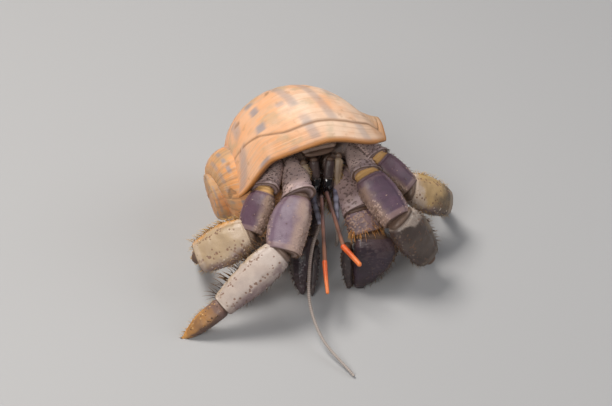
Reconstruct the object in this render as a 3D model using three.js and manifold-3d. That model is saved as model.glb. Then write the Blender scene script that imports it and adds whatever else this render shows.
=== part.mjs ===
// A land hermit crab in its turban shell, standing, at life size.
// Millimetres, +Z up. The crab looks towards -Y, a little to +X.
// R is the crab's own right side (-X), L its own left side (+X).
import * as THREE from 'three';
import { mergeVertices } from 'three/addons/utils/BufferGeometryUtils.js';
import Module from 'manifold-3d';

const wasm = await Module();
wasm.setup();

// ---------------------------------------------------------------- sizes

const GAP = 0.3; // clearance between neighbouring pieces
const RIGHT = 1; // which way a limb's upper margin lies
const LEFT = -1;

// The shell is a tube coiled round an axis. Its section shrinks by `growth`
// in every turn back from the lip.
const SHELL = {
  radius: 21.1, // axis to outer wall at the lip
  halfWidth: 14.6, // half the whorl's width along the axis
  centre: 31, // apex to the whorl's middle at the lip
  apex: -29.5, // where the coil runs out, along the axis
  growth: 2,
  round: 0.55, // 0.5 is an ellipse, more is flatter shoulders
  flare: 0.05, // widening of the base at the lip
  shoulder: 0.42, // widening of the shoulder at the lip, over the spire
  shoulderLean: 32, // degrees that the lip runs on at the shoulder
  yaw: 19, // degrees, the axis turned from +X towards +Y
  dip: 5.4, // degrees, the apex end lower than the base
  lipAngle: 52, // degrees above the front, where the outer lip ends
  height: 14.45, // the axis above the floor
  wall: 1.3,
  core: 0.3, // radius of the solid line along the axis
  columella: 1.3, // radius of the pillar that is left in the mouth
  mouthTurn: 235, // degrees that the hollow runs back from the lip
  callus: 0.25, // thickening of the mouth's inner wall
  turns: 900, // degrees of coil in all
  bluntFrom: -21, // along the axis, where the worn apex starts
  bluntOver: 1.8,
};

// The body's own directions: forward along the head, towards its left, up.
const HEAD = {
  front: new THREE.Vector3(2.7, -9.2, 25),
  forward: new THREE.Vector3(0.31, -0.85, -0.42).normalize(),
  left: new THREE.Vector3(0.94, 0.34, 0).normalize(),
};
HEAD.up = new THREE.Vector3().crossVectors(HEAD.forward, HEAD.left);

// The middle of the shell's flat on the floor, in the coil's frame.
const REST = new THREE.Vector3(-8.52, -2.5, 0);

// Colour and roughness, by a word in the piece's name; the first that fits counts.
const PAINT = [
  ['shell', 0xe0b48c, 0.45],
  ['abdomen', 0xc08a6c, 0.55],
  ['dactylus', 0xc9772a, 0.45],
  ['propodus', 0xb9a08c, 0.5],
  ['carpus', 0x7b6a78, 0.45],
  ['merus', 0x9a8078, 0.5],
  ['ischium', 0x8d7468, 0.55],
  ['palm', 0x4a3f42, 0.45],
  ['finger', 0x3d3436, 0.45],
  ['eyestalk', 0x2a2222, 0.4],
  ['eye', 0x120f12, 0.12],
  ['antenna_scale', 0xa58a76, 0.5],
  ['antenna_base', 0x75636e, 0.5],
  ['flagellum', 0xa8968a, 0.5],
  ['antennule_tip', 0xe8643a, 0.5],
  ['antennule', 0x84645c, 0.5],
  ['maxilliped', 0x6d5750, 0.55],
  ['leg4', 0x94705c, 0.55],
  ['carapace', 0xa87f6a, 0.5],
  ['thorax', 0x9c7866, 0.55],
];

// ---------------------------------------------------------------- helpers

const vec = ([x, y, z]) => new THREE.Vector3(x, y, z);
const radians = THREE.MathUtils.degToRad;
const { lerp, smoothstep } = THREE.MathUtils;

// A point near the head: millimetres forward, to the left and up.
function nearHead(forward, left, up) {
  return HEAD.front
    .clone()
    .addScaledVector(HEAD.forward, forward)
    .addScaledVector(HEAD.left, left)
    .addScaledVector(HEAD.up, up);
}

// A closed geometry as a solid whose faces point out.
function toSolid(geometry) {
  geometry.deleteAttribute('normal');
  geometry.deleteAttribute('uv');
  const merged = mergeVertices(geometry, 1e-4);
  const p = merged.getAttribute('position');
  const triVerts = new Uint32Array(merged.index.array);
  const [a, b, c] = [new THREE.Vector3(), new THREE.Vector3(), new THREE.Vector3()];
  let volume = 0;
  for (let i = 0; i < triVerts.length; i += 3) {
    a.fromBufferAttribute(p, triVerts[i]);
    b.fromBufferAttribute(p, triVerts[i + 1]);
    c.fromBufferAttribute(p, triVerts[i + 2]);
    volume += a.dot(b.cross(c));
  }
  if (volume < 0) {
    triVerts.reverse();
  }
  const vertProperties = new Float32Array(p.array);
  return new wasm.Manifold(new wasm.Mesh({ numProp: 3, vertProperties, triVerts }));
}

// A solid as a flat-shaded geometry.
function toGeometry(solid) {
  const mesh = solid.getMesh();
  const geometry = new THREE.BufferGeometry();
  geometry.setAttribute('position', new THREE.BufferAttribute(mesh.vertProperties, 3));
  geometry.setIndex(new THREE.BufferAttribute(mesh.triVerts, 1));
  const flat = geometry.toNonIndexed();
  flat.computeVertexNormals();
  return flat;
}

// A sphere's net of rows by sides, each vertex carried to place(row, side).
// Rows 0 and `rows` are the two poles.
function closedSkin(rows, sides, place) {
  const geometry = new THREE.SphereGeometry(1, sides, rows);
  const position = geometry.getAttribute('position');
  for (let i = 0; i < position.count; i += 1) {
    const row = Math.floor(i / (sides + 1));
    const side = (i % (sides + 1)) % sides;
    position.setXYZ(i, ...place(row, side).toArray());
  }
  return toSolid(geometry);
}

// A size that swells from neck to belly at `at`, then falls to the mouth.
function swell([neck, belly, mouth], at, t) {
  if (t < at) {
    return neck + (belly - neck) * Math.sin((Math.PI / 2) * (t / at)) ** 0.8;
  }
  return mouth + (belly - mouth) * Math.cos((Math.PI / 2) * ((t - at) / (1 - at))) ** 0.8;
}

const signedPower = (x, power) => Math.sign(x) * Math.abs(x) ** power;

// A limb's segment from joint to joint. `face` is where its broad side looks,
// `high` and `low` are the reach above and below the middle line, `thick` half
// the thickness; each is given at the neck, the belly and the mouth.
function segment(part, grow = 0) {
  const { from, to, face, side, high, low, thick } = part;
  const { at = 0.5, bow = 0, caps = [1, 1], square = 0.8, sides = 8, steps = 4 } = part;
  const [start, end] = [vec(from), vec(to)];
  const length = start.distanceTo(end);
  const along = end.clone().sub(start).normalize();
  const out = vec(face);
  out.addScaledVector(along, -out.dot(along)).normalize();
  const up = new THREE.Vector3().crossVectors(along, out).multiplyScalar(side);
  const [startCap, endCap] = caps.map((cap) => cap + grow);
  const last = steps + 4;
  return closedSkin(last, sides, (row, ring) => {
    const t = THREE.MathUtils.clamp((row - 2) / steps, 0, 1);
    let x = t * length;
    let scale = 1;
    if (row < 2) {
      x = -startCap * (row === 0 ? 1 : 0.6);
      scale = row === 0 ? 0 : 0.8;
    }
    if (row > last - 2) {
      x = length + endCap * (row === last ? 1 : 0.6);
      scale = row === last ? 0 : 0.8;
    }
    const angle = (2 * Math.PI * ring) / sides;
    const rise = signedPower(Math.cos(angle), square);
    const bulge = signedPower(Math.sin(angle), square);
    const reach = swell(rise > 0 ? high : low, at, t) + grow;
    const half = swell(thick, at, t) + grow;
    return start
      .clone()
      .addScaledVector(along, x)
      .addScaledVector(up, scale * reach * rise + bow * 4 * t * (1 - t))
      .addScaledVector(out, scale * half * bulge);
  });
}

// A feeler: a round rod along a smooth curve through points, thinning out.
function feeler({ through, radii, sides = 6, steps = 12 }, grow = 0) {
  const curve = new THREE.CatmullRomCurve3(through.map(vec));
  const frames = curve.computeFrenetFrames(steps, false);
  const last = steps + 2;
  return closedSkin(last, sides, (row, ring) => {
    const k = THREE.MathUtils.clamp(row - 1, 0, steps);
    const radius = lerp(radii[0], radii[1], k / steps) + grow;
    const angle = (2 * Math.PI * ring) / sides;
    const point = curve.getPoint(k / steps);
    if (row === 0) {
      return point.addScaledVector(frames.tangents[0], -radius);
    }
    if (row === last) {
      return point.addScaledVector(frames.tangents[steps], radius);
    }
    return point
      .addScaledVector(frames.normals[k], radius * Math.cos(angle))
      .addScaledVector(frames.binormals[k], radius * Math.sin(angle));
  });
}

// ---------------------------------------------------------------- shell

const coilAxis = new THREE.Vector3(
  Math.cos(radians(SHELL.yaw)) * Math.cos(radians(SHELL.dip)),
  Math.sin(radians(SHELL.yaw)) * Math.cos(radians(SHELL.dip)),
  Math.sin(radians(SHELL.dip)),
);
const coilFront = new THREE.Vector3(
  Math.sin(radians(SHELL.yaw)),
  -Math.cos(radians(SHELL.yaw)),
  0,
);
const coilUp = new THREE.Vector3().crossVectors(coilAxis, coilFront).negate();

// How far the lip's edge leans from one half-plane, in degrees: the shoulder
// and the base come a little further forward than the middle, and next to the
// pillar the edge runs back round the base.
function lipLean(around) {
  const base = 8 * smoothstep(around, -5, 45);
  const shoulder = SHELL.shoulderLean * smoothstep(-around, 45, 90);
  const runBack = 58 * smoothstep(around, 60, 88);
  return runBack - 2 - base - shoulder;
}

// A point of the whorl's wall: `turn` degrees back from the lip, `around`
// degrees from the shoulder (-90) over the outside (0) to the base (90).
function whorlPoint(turn, around, offset) {
  const size = SHELL.growth ** (-turn / 360);
  const back = Math.max(turn, 0);
  const base = around > 0 ? SHELL.flare * Math.exp(-back / 30) : 0;
  const shoulder = SHELL.shoulder * smoothstep(-around, 25, 88) * Math.exp(-back / 75);
  const lean = lipLean(around) * Math.exp(-back / 70);
  const angle = radians(SHELL.lipAngle + turn + lean);
  const wide = size * SHELL.halfWidth * (1 + base + shoulder) + offset;
  const reach = size * SHELL.radius + offset;
  const radius = reach * Math.cos(radians(around)) ** SHELL.round;
  const place = size * SHELL.centre + SHELL.apex + wide * Math.sin(radians(around));
  const past = Math.max(SHELL.bluntFrom - place, 0) / SHELL.bluntOver;
  return { radius, angle, place: place + SHELL.bluntOver * (past - Math.tanh(past)) };
}

function fromCoil(radius, angle, place) {
  return new THREE.Vector3(0, 0, SHELL.height)
    .addScaledVector(coilAxis, place)
    .addScaledVector(coilFront, radius * Math.cos(angle))
    .addScaledVector(coilUp, radius * Math.sin(angle));
}

// Less than one turn of the whorl as a solid, from one turn angle to another.
function whorl(from, to, { offset = 0, core = SHELL.core, sides = 13, step = 22 } = {}) {
  const steps = Math.ceil((to - from) / step);
  const last = steps + 2;
  return closedSkin(last, sides, (row, ring) => {
    const k = THREE.MathUtils.clamp(row - 1, 0, steps);
    const turn = lerp(from, to, k / steps);
    const around = row === 0 || row === last ? 0 : -90 + (180 * ring) / (sides - 1);
    const { radius, angle, place } = whorlPoint(turn, around, offset);
    const middle = row === 0 || row === last ? 0.5 : 1;
    return fromCoil(core + Math.max(radius - core, 0) * middle, angle, place);
  });
}

// The hollow of the mouth: the inside of the wall, less the turn before it.
function hollow(inset, from, to, pillar = SHELL.columella) {
  const core = pillar + inset - SHELL.wall;
  const inside = whorl(from, to, { offset: -inset, core, sides: 9, step: 30 });
  const turnBefore = whorl(335, 610, {
    offset: inset - SHELL.wall + SHELL.callus,
    sides: 9,
    step: 30,
  });
  return inside.subtract(turnBefore);
}

function shellSolid(grow = 0) {
  const bodyWhorl = whorl(0, 330, { offset: grow });
  const spire = whorl(322, 630, { offset: grow, sides: 11, step: 30 });
  const apex = whorl(615, SHELL.turns, { offset: grow, sides: 8, step: 40 });
  const solid = bodyWhorl.add(spire).add(apex);
  return solid.subtract(hollow(SHELL.wall + grow, -30, SHELL.mouthTurn));
}

// ---------------------------------------------------------------- limbs

const LEG_ORDER = ['ischium', 'merus', 'carpus', 'propodus', 'dactylus'];
const CLAW_ORDER = ['ischium', 'merus', 'carpus', 'palm'];

// Half-heights and half-thicknesses of a walking leg's segments.
const LEG = {
  ischium: { high: [1.6, 2, 2], low: [1.6, 2, 2], thick: [1.5, 1.8, 1.8], steps: 2 },
  merus: { high: [1.4, 3, 3.9], low: [1.4, 3.2, 4], thick: [1.4, 2.2, 2.3], at: 0.8 },
  carpus: { high: [2, 4.2, 2.8], low: [2.6, 4.3, 4.2], thick: [1.5, 2.6, 2.4], at: 0.5 },
  propodus: { high: [2.8, 3.6, 2.4], low: [2.8, 3.7, 2.4], thick: [2.1, 2.5, 1.7], at: 0.3 },
  dactylus: { high: [2, 2, 0.4], low: [2, 2.2, 0.5], thick: [1.6, 1.6, 0.4], at: 0.3 },
};

const LEG2_L = {
  ...LEG,
  merus: { high: [1.2, 2.8, 3.4], low: [1.2, 2.8, 3.4], thick: [1.4, 2, 2.1], at: 0.8 },
  carpus: { high: [2.6, 3.6, 2.4], low: [2.8, 4.2, 3.6], thick: [1.5, 2.5, 2.3], at: 0.5 },
  propodus: { high: [3.2, 4.6, 3.2], low: [3, 4, 2.8], thick: [2.1, 2.6, 1.8], at: 0.4 },
};

const LEG3_R = {
  ...LEG,
  merus: { high: [1.4, 3.2, 3.8], low: [1.4, 2.6, 3.2], thick: [1.4, 2, 2.1], at: 0.8 },
  carpus: { high: [2, 3.5, 2.6], low: [2, 3.5, 2.6], thick: [1.4, 2.3, 2], at: 0.5 },
  propodus: { high: [2.8, 4.3, 3.2], low: [3.2, 5, 3.8], thick: [2, 2.4, 1.8], at: 0.45 },
  dactylus: { high: [1.8, 1.8, 0.4], low: [1.8, 1.9, 0.4], thick: [1.5, 1.5, 0.4], at: 0.3 },
};

const LEG3_L = {
  ...LEG3_R,
  merus: { high: [1.4, 2.6, 3], low: [1.4, 2.6, 3], thick: [1.4, 1.9, 2], at: 0.8 },
  carpus: { high: [2, 3.2, 2.6], low: [2, 3.2, 2.6], thick: [1.4, 2.3, 2.1], at: 0.5 },
  propodus: { high: [3, 4, 3], low: [3, 4.2, 3.2], thick: [2, 2.5, 1.9], at: 0.45 },
};

// The left claw is the big one: a deep palm, D-shaped from in front.
const CLAW_L = {
  ischium: { high: [1.8, 2.2, 2.2], low: [1.8, 2.2, 2.2], thick: [1.6, 2, 2], steps: 2 },
  merus: { high: [1.8, 3.4, 3.8], low: [1.8, 2.8, 3.2], thick: [1.6, 2.2, 2.2], at: 0.7 },
  carpus: { high: [2.6, 4.2, 4], low: [2.4, 2.9, 2.6], thick: [1.8, 2.5, 2.4], at: 0.6 },
  palm: {
    high: [5, 7.4, 1.2],
    low: [1.6, 1.6, 1.2],
    thick: [2.2, 3.2, 1.2],
    at: 0.25,
    square: 0.7,
    steps: 5,
  },
};

const CLAW_R = {
  ischium: { high: [1.4, 1.7, 1.7], low: [1.4, 1.7, 1.7], thick: [1.3, 1.5, 1.5], steps: 2 },
  merus: { high: [1.3, 2, 2.1], low: [1.3, 1.8, 2], thick: [1.3, 1.7, 1.7], at: 0.7 },
  carpus: { high: [1.7, 2.4, 2.6], low: [1.6, 2, 2], thick: [1.4, 1.9, 1.9], at: 0.6 },
  palm: { high: [2.6, 3.4, 0.8], low: [1.2, 1.2, 0.6], thick: [1.6, 2, 0.8], at: 0.3 },
};

// The two fingers that open sideways, towards the midline.
const FINGER_L = {
  high: [1, 1.2, 0.7],
  low: [1, 1.4, 0.6],
  thick: [1.6, 1.9, 0.7],
  at: 0.3,
  steps: 3,
};
const FINGER_R = {
  high: [0.7, 0.8, 0.4],
  low: [0.7, 0.9, 0.4],
  thick: [1, 1.2, 0.5],
  at: 0.3,
  steps: 3,
};

// One segment for each pair of joints.
function limb(name, side, face, sizes, order, joints) {
  return order.map((segmentName, i) => ({
    name: `${name}_${segmentName}`,
    from: joints[i],
    to: joints[i + 1],
    face,
    side,
    ...sizes[segmentName],
  }));
}

const walkingLegs = [
  ...limb('leg2_R', RIGHT, [-0.3, -0.65, 0.7], LEG, LEG_ORDER, [
    [-1.6, -3.6, 20.4],
    [-3.4, -6.3, 20.9],
    [-2.1, -17.2, 20],
    [-5.5, -27.7, 14.3],
    [-17, -34.7, 6],
    [-25.1, -37.9, 0],
  ]),
  ...limb('leg2_L', LEFT, [0.3, -0.65, 0.7], LEG2_L, LEG_ORDER, [
    [4.6, -1.6, 20.4],
    [9, -1.9, 21.3],
    [12.1, -10.9, 21],
    [18.6, -20.6, 17],
    [25, -20.7, 6.5],
    [23.8, -11.4, 0],
  ]),
  ...limb('leg3_R', RIGHT, [-0.5, -0.5, 0.7], LEG3_R, LEG_ORDER, [
    [-3, -1, 21.4],
    [-6.6, -6.8, 21.3],
    [-8.8, -14.6, 19.8],
    [-11.9, -21.3, 14.1],
    [-22.6, -23.4, 9],
    [-24, -13, 0],
  ]),
  ...limb('leg3_L', LEFT, [0.5, -0.5, 0.7], LEG3_L, LEG_ORDER, [
    [4, 1.4, 21.4],
    [10.7, -1.3, 21.6],
    [14.6, -5.8, 21.3],
    [21.3, -9.4, 16],
    [30.3, -5.4, 8.5],
    [30, 4.5, 0],
  ]),
];

const claws = [
  ...limb('claw_L', LEFT, [0, -0.8, 0.6], CLAW_L, CLAW_ORDER, [
    [4, -4.4, 19.6],
    [6.2, -6, 18.4],
    [10.2, -16.8, 15.6],
    [11.4, -19.8, 12.4],
    [10.9, -23.2, 0.8],
  ]),
  ...limb('claw_R', RIGHT, [0, -0.8, 0.6], CLAW_R, CLAW_ORDER, [
    [-0.8, -5.8, 19.2],
    [0.4, -7.4, 18],
    [0.7, -14.2, 14.4],
    [-0.2, -18.4, 10.8],
    [-1.1, -25.9, 1.6],
  ]),
];

const fingers = [
  {
    name: 'claw_L_finger',
    from: [8.3, -20.6, 9],
    to: [8.6, -23.3, 0.6],
    face: [0, -0.8, 0.6],
    side: LEFT,
    ...FINGER_L,
  },
  {
    name: 'claw_R_finger',
    from: [1.7, -19.6, 9],
    to: [0.9, -26, 1.2],
    face: [0, -0.8, 0.6],
    side: RIGHT,
    ...FINGER_R,
  },
];

// The small legs behind the walking legs, folded inside the shell's mouth.
const smallLegs = [
  { name: 'leg4_R', from: [-4.6, 1.6, 22], to: [-5.2, 6.4, 16.5], face: [-1, 0, 0], side: RIGHT },
  { name: 'leg4_L', from: [3, 5, 21.4], to: [1.8, 9.2, 16.4], face: [1, 0, 0], side: LEFT },
].map((leg) => ({
  ...leg,
  high: [1.3, 1.5, 1],
  low: [1.3, 1.5, 1],
  thick: [1, 1.1, 0.9],
  steps: 2,
}));

// ---------------------------------------------------------------- head

const shield = {
  name: 'carapace_shield',
  from: nearHead(-0.6, 0, -0.6).toArray(),
  to: nearHead(-9.6, 0, -0.4).toArray(),
  face: HEAD.up.toArray(),
  side: RIGHT,
  high: [3.4, 4.3, 3.8],
  low: [3.4, 4.3, 3.8],
  thick: [0.7, 1.2, 0.8],
  caps: [0.8, 1],
  sides: 10,
  steps: 3,
};

const thorax = {
  name: 'thorax',
  from: nearHead(-2.6, 0, -3.6).toArray(),
  to: nearHead(-9.6, 0, -3.6).toArray(),
  face: HEAD.up.toArray(),
  side: RIGHT,
  high: [2.8, 4, 3.6],
  low: [2.8, 4, 3.6],
  thick: [2.2, 2.6, 2.4],
  sides: 10,
};

const EYESTALK = {
  high: [0.9, 1.1, 1.1],
  low: [0.9, 1.1, 1.1],
  thick: [0.7, 0.8, 0.8],
  steps: 2,
};
const EYE = { high: [1.05, 1.1, 0.9], low: [1.05, 1.1, 0.9], thick: [0.9, 1, 0.8], steps: 2 };
const EYES = [
  { side: RIGHT, letter: 'R', from: [1.2, -9.3, 23.2], to: [1.7, -11.7, 17.5] },
  { side: LEFT, letter: 'L', from: [4.6, -9, 23.2], to: [4, -11.7, 17.5] },
];
const EYE_STARTS = 0.66; // share of the stalk's length

const eyes = EYES.flatMap(({ side, letter, from, to }) => {
  const middle = vec(from).lerp(vec(to), EYE_STARTS).toArray();
  const face = [0, -0.9, 0.3];
  return [
    { name: `eyestalk_${letter}`, from, to: middle, face, side, caps: [0.6, 0.1], ...EYESTALK },
    { name: `eye_${letter}`, from: middle, to, face, side, caps: [0.1, 0.9], ...EYE },
  ];
});

const SCALE = {
  high: [0.8, 0.8, 0.35],
  low: [0.8, 0.8, 0.35],
  thick: [0.5, 0.6, 0.35],
  sides: 6,
  steps: 2,
};
const scales = [
  { name: 'antenna_scale_R', from: [-0.9, -10.2, 22.8], to: [0.1, -12.4, 20.6], side: RIGHT },
  { name: 'antenna_scale_L', from: [6.4, -8.3, 23.2], to: [6.1, -11, 18.6], side: LEFT },
].map((scale) => ({ ...scale, face: [0, -0.8, 0.6], ...SCALE }));

const MOUTH_LEG = { high: [0.9, 1, 0.8], low: [0.9, 1, 0.8], thick: [1, 1.1, 0.8], steps: 2 };
const mouthLegs = [
  { name: 'maxilliped_R', from: [2.7, -7, 16.6], to: [2.6, -11.4, 12], side: RIGHT },
  { name: 'maxilliped_L', from: [5, -7, 16.6], to: [4.9, -11.4, 12], side: LEFT },
].map((leg) => ({ ...leg, face: [0, -0.8, 0.6], ...MOUTH_LEG }));

const feelers = [
  {
    name: 'antenna_base_R',
    through: [[0.9, -10.6, 15.8], [1, -13, 16.6], [2.4, -18.9, 14.2]],
    radii: [0.75, 0.5],
    steps: 5,
  },
  {
    name: 'antenna_flagellum_R',
    through: [
      [2.5, -19.4, 13.9],
      [1, -23.3, 12],
      [0.2, -29.1, 9],
      [0.4, -34.5, 5.8],
      [2.9, -40.9, 2.6],
      [8.8, -48.5, 0.5],
    ],
    radii: [0.38, 0.27],
    steps: 14,
  },
  {
    name: 'antenna_base_L',
    through: [[5.9, -10.4, 16.6], [5.9, -13, 17], [6, -19, 13.9]],
    radii: [0.75, 0.5],
    steps: 5,
  },
  {
    name: 'antenna_flagellum_L',
    through: [
      [6, -19.3, 13.5],
      [6.2, -19.4, 10],
      [6, -16, 5.4],
      [6.6, -10, 2.6],
      [9, -3, 1.2],
    ],
    radii: [0.38, 0.27],
    steps: 10,
  },
  {
    name: 'antennule_base_R',
    through: [[2.6, -10, 15.4], [2.6, -13, 15.8], [2.8, -14.6, 17.6]],
    radii: [0.6, 0.5],
    steps: 4,
  },
  {
    name: 'antennule_stalk_R',
    through: [[2.85, -15, 17.4], [3.1, -20.6, 14.4], [3.4, -26.4, 10.7]],
    radii: [0.36, 0.42],
    steps: 4,
  },
  {
    name: 'antennule_tip_R',
    through: [[3.4, -26.9, 10.4], [3.6, -29.8, 9.2], [3.9, -33, 8]],
    radii: [0.52, 0.38],
    steps: 4,
  },
  {
    name: 'antennule_base_L',
    through: [[4.4, -10, 15.6], [4.3, -12.8, 16], [3.9, -13.8, 18]],
    radii: [0.6, 0.5],
    steps: 4,
  },
  {
    name: 'antennule_stalk_L',
    through: [[3.9, -14.2, 18.2], [5.4, -18.8, 15.8], [7.1, -23.9, 12.7]],
    radii: [0.36, 0.42],
    steps: 4,
  },
  {
    name: 'antennule_tip_L',
    through: [[7.3, -24.5, 12.4], [8.8, -26.5, 12], [10.3, -28.5, 11.5]],
    radii: [0.6, 0.5],
    steps: 4,
  },
];

// The soft tail: it fills the hollow of the mouth and follows the turn.
const ABDOMEN = { gap: 1.1, from: 56, to: 205, pillar: 4.5 };
const abdomen = (grow = 0) =>
  hollow(SHELL.wall + ABDOMEN.gap - grow, ABDOMEN.from, ABDOMEN.to, ABDOMEN.pillar);

// ---------------------------------------------------------------- assembly

// Pieces earlier in the list keep their shape; later ones are cut to clear them.
const plan = [
  { name: 'shell', build: shellSolid },
  ...[...walkingLegs, ...fingers, ...claws, ...eyes, ...scales].map((part) => ({
    name: part.name,
    build: (grow) => segment(part, grow),
  })),
  ...feelers.map((part) => ({
    name: part.name,
    build: (grow) => feeler(part, grow),
  })),
  ...[shield, ...mouthLegs, thorax, ...smallLegs].map((part) => ({
    name: part.name,
    build: (grow) => segment(part, grow),
  })),
  { name: 'abdomen', build: abdomen },
];

// Everything above the floor; feet that dip into it get a small flat.
const aboveFloor = toSolid(new THREE.BoxGeometry(300, 300, 100).translate(0, 0, 50));

const crab = new THREE.Group();
crab.name = 'hermit_crab';
const placed = [];
for (const { name, build } of plan) {
  let solid = build(0).intersect(aboveFloor);
  const box = new THREE.Box3();
  box.setFromBufferAttribute(toGeometry(solid).getAttribute('position')).expandByScalar(GAP);
  for (const earlier of placed) {
    if (earlier.box.intersectsBox(box)) {
      solid = solid.subtract(earlier.grown);
    }
  }
  placed.push({ box, grown: build(GAP) });
  const [, color, roughness] = PAINT.find(([word]) => name.includes(word));
  const material = new THREE.MeshStandardMaterial({ color, roughness, metalness: 0 });
  const mesh = new THREE.Mesh(toGeometry(solid), material);
  mesh.name = name;
  mesh.position.copy(REST).negate();
  crab.add(mesh);
}

export default crab;
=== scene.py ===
# %% [markdown]
# # A land hermit crab in its turban shell, dressed over its solids
# The frame is a set of plain solids: the shell, the plates of ten limbs, the head's small
# parts and the soft tail. Here each solid gets its real surface: granules and pits on the
# plates, growth lines on the shell, rings on the feelers, bristles at the edges. Every
# surface is worked out with numpy from the same named sizes as its solid, so that it
# covers the solid without changing its shape.

import math

import bpy
import numpy as np
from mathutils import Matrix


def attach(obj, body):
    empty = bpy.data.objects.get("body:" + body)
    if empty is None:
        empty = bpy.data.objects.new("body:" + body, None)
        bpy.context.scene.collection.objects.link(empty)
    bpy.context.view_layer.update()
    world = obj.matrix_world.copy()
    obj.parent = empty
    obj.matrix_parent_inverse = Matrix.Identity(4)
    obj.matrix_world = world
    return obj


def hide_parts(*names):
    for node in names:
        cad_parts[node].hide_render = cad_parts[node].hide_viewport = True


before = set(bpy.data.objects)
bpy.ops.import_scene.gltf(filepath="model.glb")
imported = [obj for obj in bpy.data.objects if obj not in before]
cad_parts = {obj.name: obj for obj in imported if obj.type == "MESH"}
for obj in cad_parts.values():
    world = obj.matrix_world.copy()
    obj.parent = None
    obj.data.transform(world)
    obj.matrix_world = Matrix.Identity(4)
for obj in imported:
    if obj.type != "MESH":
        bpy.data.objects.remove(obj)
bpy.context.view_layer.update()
print("nodes in the frame:", len(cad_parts))

# %% [markdown]
# ## Units and the coil's frame
# The crab's own sizes are in millimetres, measured from a point under the shell's axis.
# The frame's origin is the middle of the flat that the shell rests on, so a point is
# moved by that much, then turned into metres.

# %% Units
MM = 0.001
SHELL_FLAT = np.array([-8.52, -2.5, 0.0])


def to_metres(points_mm):
    """(point - middle of the shell's flat) / 1000."""
    return (np.asarray(points_mm, float) - SHELL_FLAT) * MM


def unit(vector):
    """A vector divided by its own length."""
    vector = np.asarray(vector, float)
    return vector / np.linalg.norm(vector)


def smoothstep(x, low, high):
    """3f^2 - 2f^3, where f runs from 0 at low to 1 at high."""
    f = np.clip((x - low) / (high - low), 0, 1)
    return f * f * (3 - 2 * f)


print("middle of the shell's flat:", SHELL_FLAT.tolist(), "mm")

# %% [markdown]
# ## Camera, floor and light
# The crab is seen from about 40 degrees above the floor, straight from in front, with a
# short telephoto lens. The light is soft, as in a pale room: a wide lamp high up behind
# and to the left, weaker ones from the right and from in front, and a faint pale world
# that fills the shadows.

# %% Camera
EYE_POINT = to_metres([-0.44, -196.885, 168.893])
ELEVATION = 40
LENS_MM = 66.845
camera_data = bpy.data.cameras.new("camera")
camera_data.lens = LENS_MM
camera_data.sensor_width = 36
camera_data.clip_start = 0.01
camera = bpy.data.objects.new("camera", camera_data)
camera.location = EYE_POINT
camera.rotation_euler = (math.radians(90 - ELEVATION), 0, 0)
bpy.context.scene.collection.objects.link(camera)
bpy.context.scene.camera = camera
print("camera at", [round(float(c), 3) for c in EYE_POINT])


# %% Floor and lamps
def wide_lamp(name, place, target, size, power, colour):
    """A square area lamp at a place, facing a target, sizes in metres, power in watts."""
    data = bpy.data.lights.new(name, "AREA")
    data.size = size
    data.energy = power
    data.color = colour
    lamp = bpy.data.objects.new(name, data)
    toward = unit(np.subtract(target, place))
    lamp.location = place
    lamp.rotation_euler = (
        math.acos(-toward[2]),
        0,
        math.atan2(toward[1], toward[0]) - math.pi / 2,
    )
    bpy.context.scene.collection.objects.link(lamp)


wide_lamp("sky_window", (-0.20, 0.14, 0.46), (0, 0, 0.02), 0.20, 2.4, (1, 0.96, 0.91))
wide_lamp("right_fill", (0.42, 0.05, 0.35), (0, 0, 0.02), 0.30, 0.85, (0.96, 0.97, 1))
wide_lamp("front_fill", (-0.15, -0.40, 0.34), (0, 0, 0.02), 0.24, 1.25, (1, 0.98, 0.95))

world = bpy.data.worlds.new("pale_room")
world.use_nodes = True
world.node_tree.nodes["Background"].inputs["Color"].default_value = (0.8, 0.84, 0.9, 1)
world.node_tree.nodes["Background"].inputs["Strength"].default_value = 0.10
bpy.context.scene.world = world
bpy.context.scene.view_settings.view_transform = "Standard"

floor_mesh = bpy.data.meshes.new("floor")
floor_mesh.from_pydata(
    [(-1.5, -1.5, 0), (1.5, -1.5, 0), (1.5, 1.5, 0), (-1.5, 1.5, 0)], [], [(0, 1, 2, 3)]
)
floor = bpy.data.objects.new("floor", floor_mesh)
bpy.context.scene.collection.objects.link(floor)
floor_paint = bpy.data.materials.new("floor_paint")
floor_paint.use_nodes = True
floor_shader = floor_paint.node_tree.nodes["Principled BSDF"]
floor_shader.inputs["Base Color"].default_value = (0.42, 0.42, 0.425, 1)
floor_shader.inputs["Roughness"].default_value = 0.6
floor_mesh.materials.append(floor_paint)
print("stage ready")

# %% [markdown]
# ## Random but repeatable roughness
# Nothing grown is even. A lattice noise gives slow swells and stains: every corner of a
# cubic lattice gets a number by hashing its own place, and a point blends its eight
# corners. It needs no table, and it gives the same crab on each run.


# %% Lattice noise
def noise(points, size, seed=0):
    """Values from 0 to 1: hash the corners of a lattice of the given size, then blend
    the eight corners round each point with 3f^2 - 2f^3 along each axis."""
    q = np.asarray(points, float) / size
    cell = np.floor(q).astype(np.int64)
    f = q - cell
    f = f * f * (3 - 2 * f)
    total = np.zeros(q.shape[:-1])
    for corner in range(8):
        step = np.array([corner & 1, (corner >> 1) & 1, corner >> 2])
        c = cell + step
        h = (c[..., 0] * 73856093) ^ (c[..., 1] * 19349663) ^ (c[..., 2] * 83492791)
        h = ((h ^ (seed * 2654435761)) & 0xFFFFFFFF) * 1274126177 & 0xFFFFFFFF
        h = (h ^ (h >> 15)) * 2246822519 & 0xFFFFFFFF
        weight = np.prod(np.where(step == 1, f, 1 - f), axis=-1)
        total += weight * ((h >> 8) & 0xFFFF) / 65535
    return total


def rough_noise(points, size, octaves=3, seed=0):
    """Noise plus half as much at half the size, and so on, scaled back to 0..1."""
    total, weight = 0, 0
    for k in range(octaves):
        total = total + noise(points, size / 2**k, seed + 17 * k) / 2**k
        weight += 1 / 2**k
    return total / weight


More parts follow.
